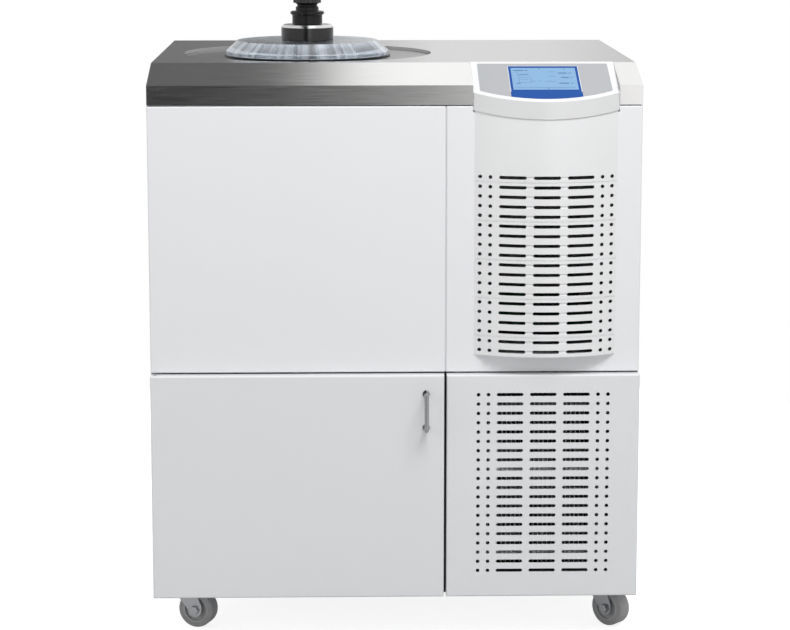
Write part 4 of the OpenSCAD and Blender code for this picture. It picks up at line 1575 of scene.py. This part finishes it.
@dataclass
class Studio:
    """The floor, the world, the lamps and the camera."""

    camera_at: Point = (-0.0837, -4.0219, 1.2141)
    pitch: float = math.radians(8.89)
    yaw: float = math.radians(-1.29)
    lens: float = 107.77
    lens_shift: float = -0.08
    floor_r: float = 1.7
    floor_grey: float = 0.5
    floor_glow: float = 0.82
    floor_mirrored: float = 0.3
    card_light: float = 1.45
    room_light: float = 0.45
    over_cards: Pairs = (
        (0.1, 0.5), (0.3, 0.09), (0.43, 0.11), (0.47, 0.04), (0.487, 0.26), (0.507, 0.97), (0.56, 0.93),
        (0.62, 0.86), (0.8, 0.95), (1.0, 0.6),
    )
    level_cards: Pairs = (
        (0.1, 0.5), (0.35, 0.44), (0.4, 0.13), (0.465, 0.16), (0.506, 0.38), (0.55, 0.56), (0.61, 0.54),
        (0.68, 0.38), (0.8, 0.5),
    )
    front_cards: Pairs = (
        (0.1, 0.5), (0.3, 0.02), (0.47, 0.0), (0.5, 0.08), (0.53, 0.2), (0.556, 0.24), (0.59, 0.48),
        (0.62, 1.0), (0.8, 1.0), (1.0, 0.6),
    )

    def build(self) -> None:
        """Sets up everything that isn't part of the object."""
        scene = bpy.context.scene
        scene.view_settings.view_transform = "Standard"
        self.floor()
        self.world(scene)
        self.lamps()
        self.camera(scene)

    def floor(self) -> None:
        """Lays a plain pale floor that shows white and keeps the object's shadow."""
        deselect()
        bpy.ops.mesh.primitive_circle_add(
            vertices=96, radius=self.floor_r, fill_type="NGON", location=(0.0, 0.0, 0.0)
        )
        plane = bpy.context.object
        plane.name = "studio_floor"
        sheet = bpy.data.materials.new("floor_white")
        recipe = Recipe(sheet)
        direct, glossy, clear = recipe.rays("Camera", "Glossy", "Transmission")
        lift = (direct + glossy * self.floor_mirrored + clear).clamped() * self.floor_glow
        grey = self.floor_grey
        paper = recipe.node("ShaderNodeBsdfDiffuse", {}, {"Color": (grey, grey, grey, 1.0)})
        glow = recipe.node("ShaderNodeEmission", {}, {"Color": WHITE, "Strength": lift})
        both = recipe.node("ShaderNodeAddShader", {}, {0: paper.outputs[0], 1: glow.outputs[0]})
        recipe.end(both)
        plane.data.materials.append(sheet)

    def world(self, scene: bpy.types.Scene) -> None:
        """Makes the surroundings: white to the eye, soft grey to paint, and a studio's cards to metal.

        Args:
            scene: the scene whose world is set.
        """
        sky = bpy.data.worlds.new("studio")
        scene.world = sky
        recipe = Recipe(sky)
        direct, glossy, clear = recipe.rays("Camera", "Glossy", "Transmission")
        ray = recipe.node("ShaderNodeTexCoord", {}, {}).outputs["Generated"]
        split = recipe.node("ShaderNodeSeparateXYZ", {}, {0: ray})
        x, y, z = (Signal(recipe, split.outputs[i]) for i in range(3))
        behind = (y * 6.0 + 0.5).clamped()
        high = (z * 5.0 - 0.8).clamped()
        across = (x * 1.25 + 0.5).clamped()
        over, level, front = (
            recipe.signal("ShaderNodeValToRGB", {"stops": stops}, {0: across})
            for stops in (self.over_cards, self.level_cards, self.front_cards)
        )
        cards = recipe.blend(behind, front, recipe.blend(high, level, over))
        metal, paint, white = (
            recipe.node("ShaderNodeBackground", {}, {"Color": tone, "Strength": strength})
            for tone, strength in ((cards, self.card_light), (WHITE, self.room_light), (WHITE, 1.0))
        )
        lit = recipe.shader_mix(glossy, paint, metal)
        shown = (direct + clear).clamped()
        recipe.end(recipe.shader_mix(shown, lit, white), "ShaderNodeOutputWorld")

    def lamps(self) -> None:
        """Hangs the soft boxes."""
        self.soft_box("key", (0.75, -2.0, 3.35), (0.0, -0.2, 0.8), (1.9, 1.3), 84.0)
        self.soft_box("fill", (-2.8, -2.6, 1.6), (-0.1, -0.2, 0.5), (1.8, 1.8), 14.0)
        self.soft_box("rear", (0.5, 2.8, 2.6), (0.0, 0.2, 0.8), (2.4, 1.4), 36.0)
        self.soft_box("flank", (-3.0, 1.6, 1.8), (-0.2, 0.1, 0.5), (1.8, 1.8), 16.0)

    def soft_box(self, name: str, place: Point, aim: Point, size: tuple[float, float], power: float) -> None:
        """Hangs one area lamp.

        Args:
            name: the lamp's name.
            place: where it hangs.
            aim: the point that it faces.
            size: its width and height.
            power: its power in watts.
        """
        lamp = bpy.data.lights.new(name, "AREA")
        lamp.shape = "RECTANGLE"
        lamp.size, lamp.size_y = size
        lamp.energy = power
        hung = bpy.data.objects.new(name, lamp)
        bpy.context.collection.objects.link(hung)
        hung.location = place
        hung.rotation_mode = "QUATERNION"
        hung.rotation_quaternion = (Vector(aim) - Vector(place)).to_track_quat("-Z", "Y")
        hung.visible_glossy = False

    def camera(self, scene: bpy.types.Scene) -> None:
        """Sets the camera at eye level, a little left of the middle.

        Args:
            scene: the scene that looks through it.
        """
        lens = bpy.data.cameras.new("camera")
        lens.lens = self.lens
        lens.shift_y = self.lens_shift
        eye = bpy.data.objects.new("camera", lens)
        bpy.context.collection.objects.link(eye)
        eye.location = self.camera_at
        eye.rotation_euler = (math.radians(90.0) - self.pitch, 0.0, self.yaw)
        scene.camera = eye


def main() -> None:
    """Builds the studio and every sub-assembly in order."""
    logging.basicConfig(level=logging.INFO, format="%(message)s")
    Studio().build()
    assemblies: Iterable[Any] = (
        Cabinet(), PumpDoor(), Console(), Worktop(), Chamber(), Lid(), Casters(), Refrigeration(),
        VacuumSystem(), Electrics(),
    )
    for assembly in assemblies:
        assembly.build()
        LOG.info("built %s", type(assembly).__name__)


if __name__ == "__main__":
    main()
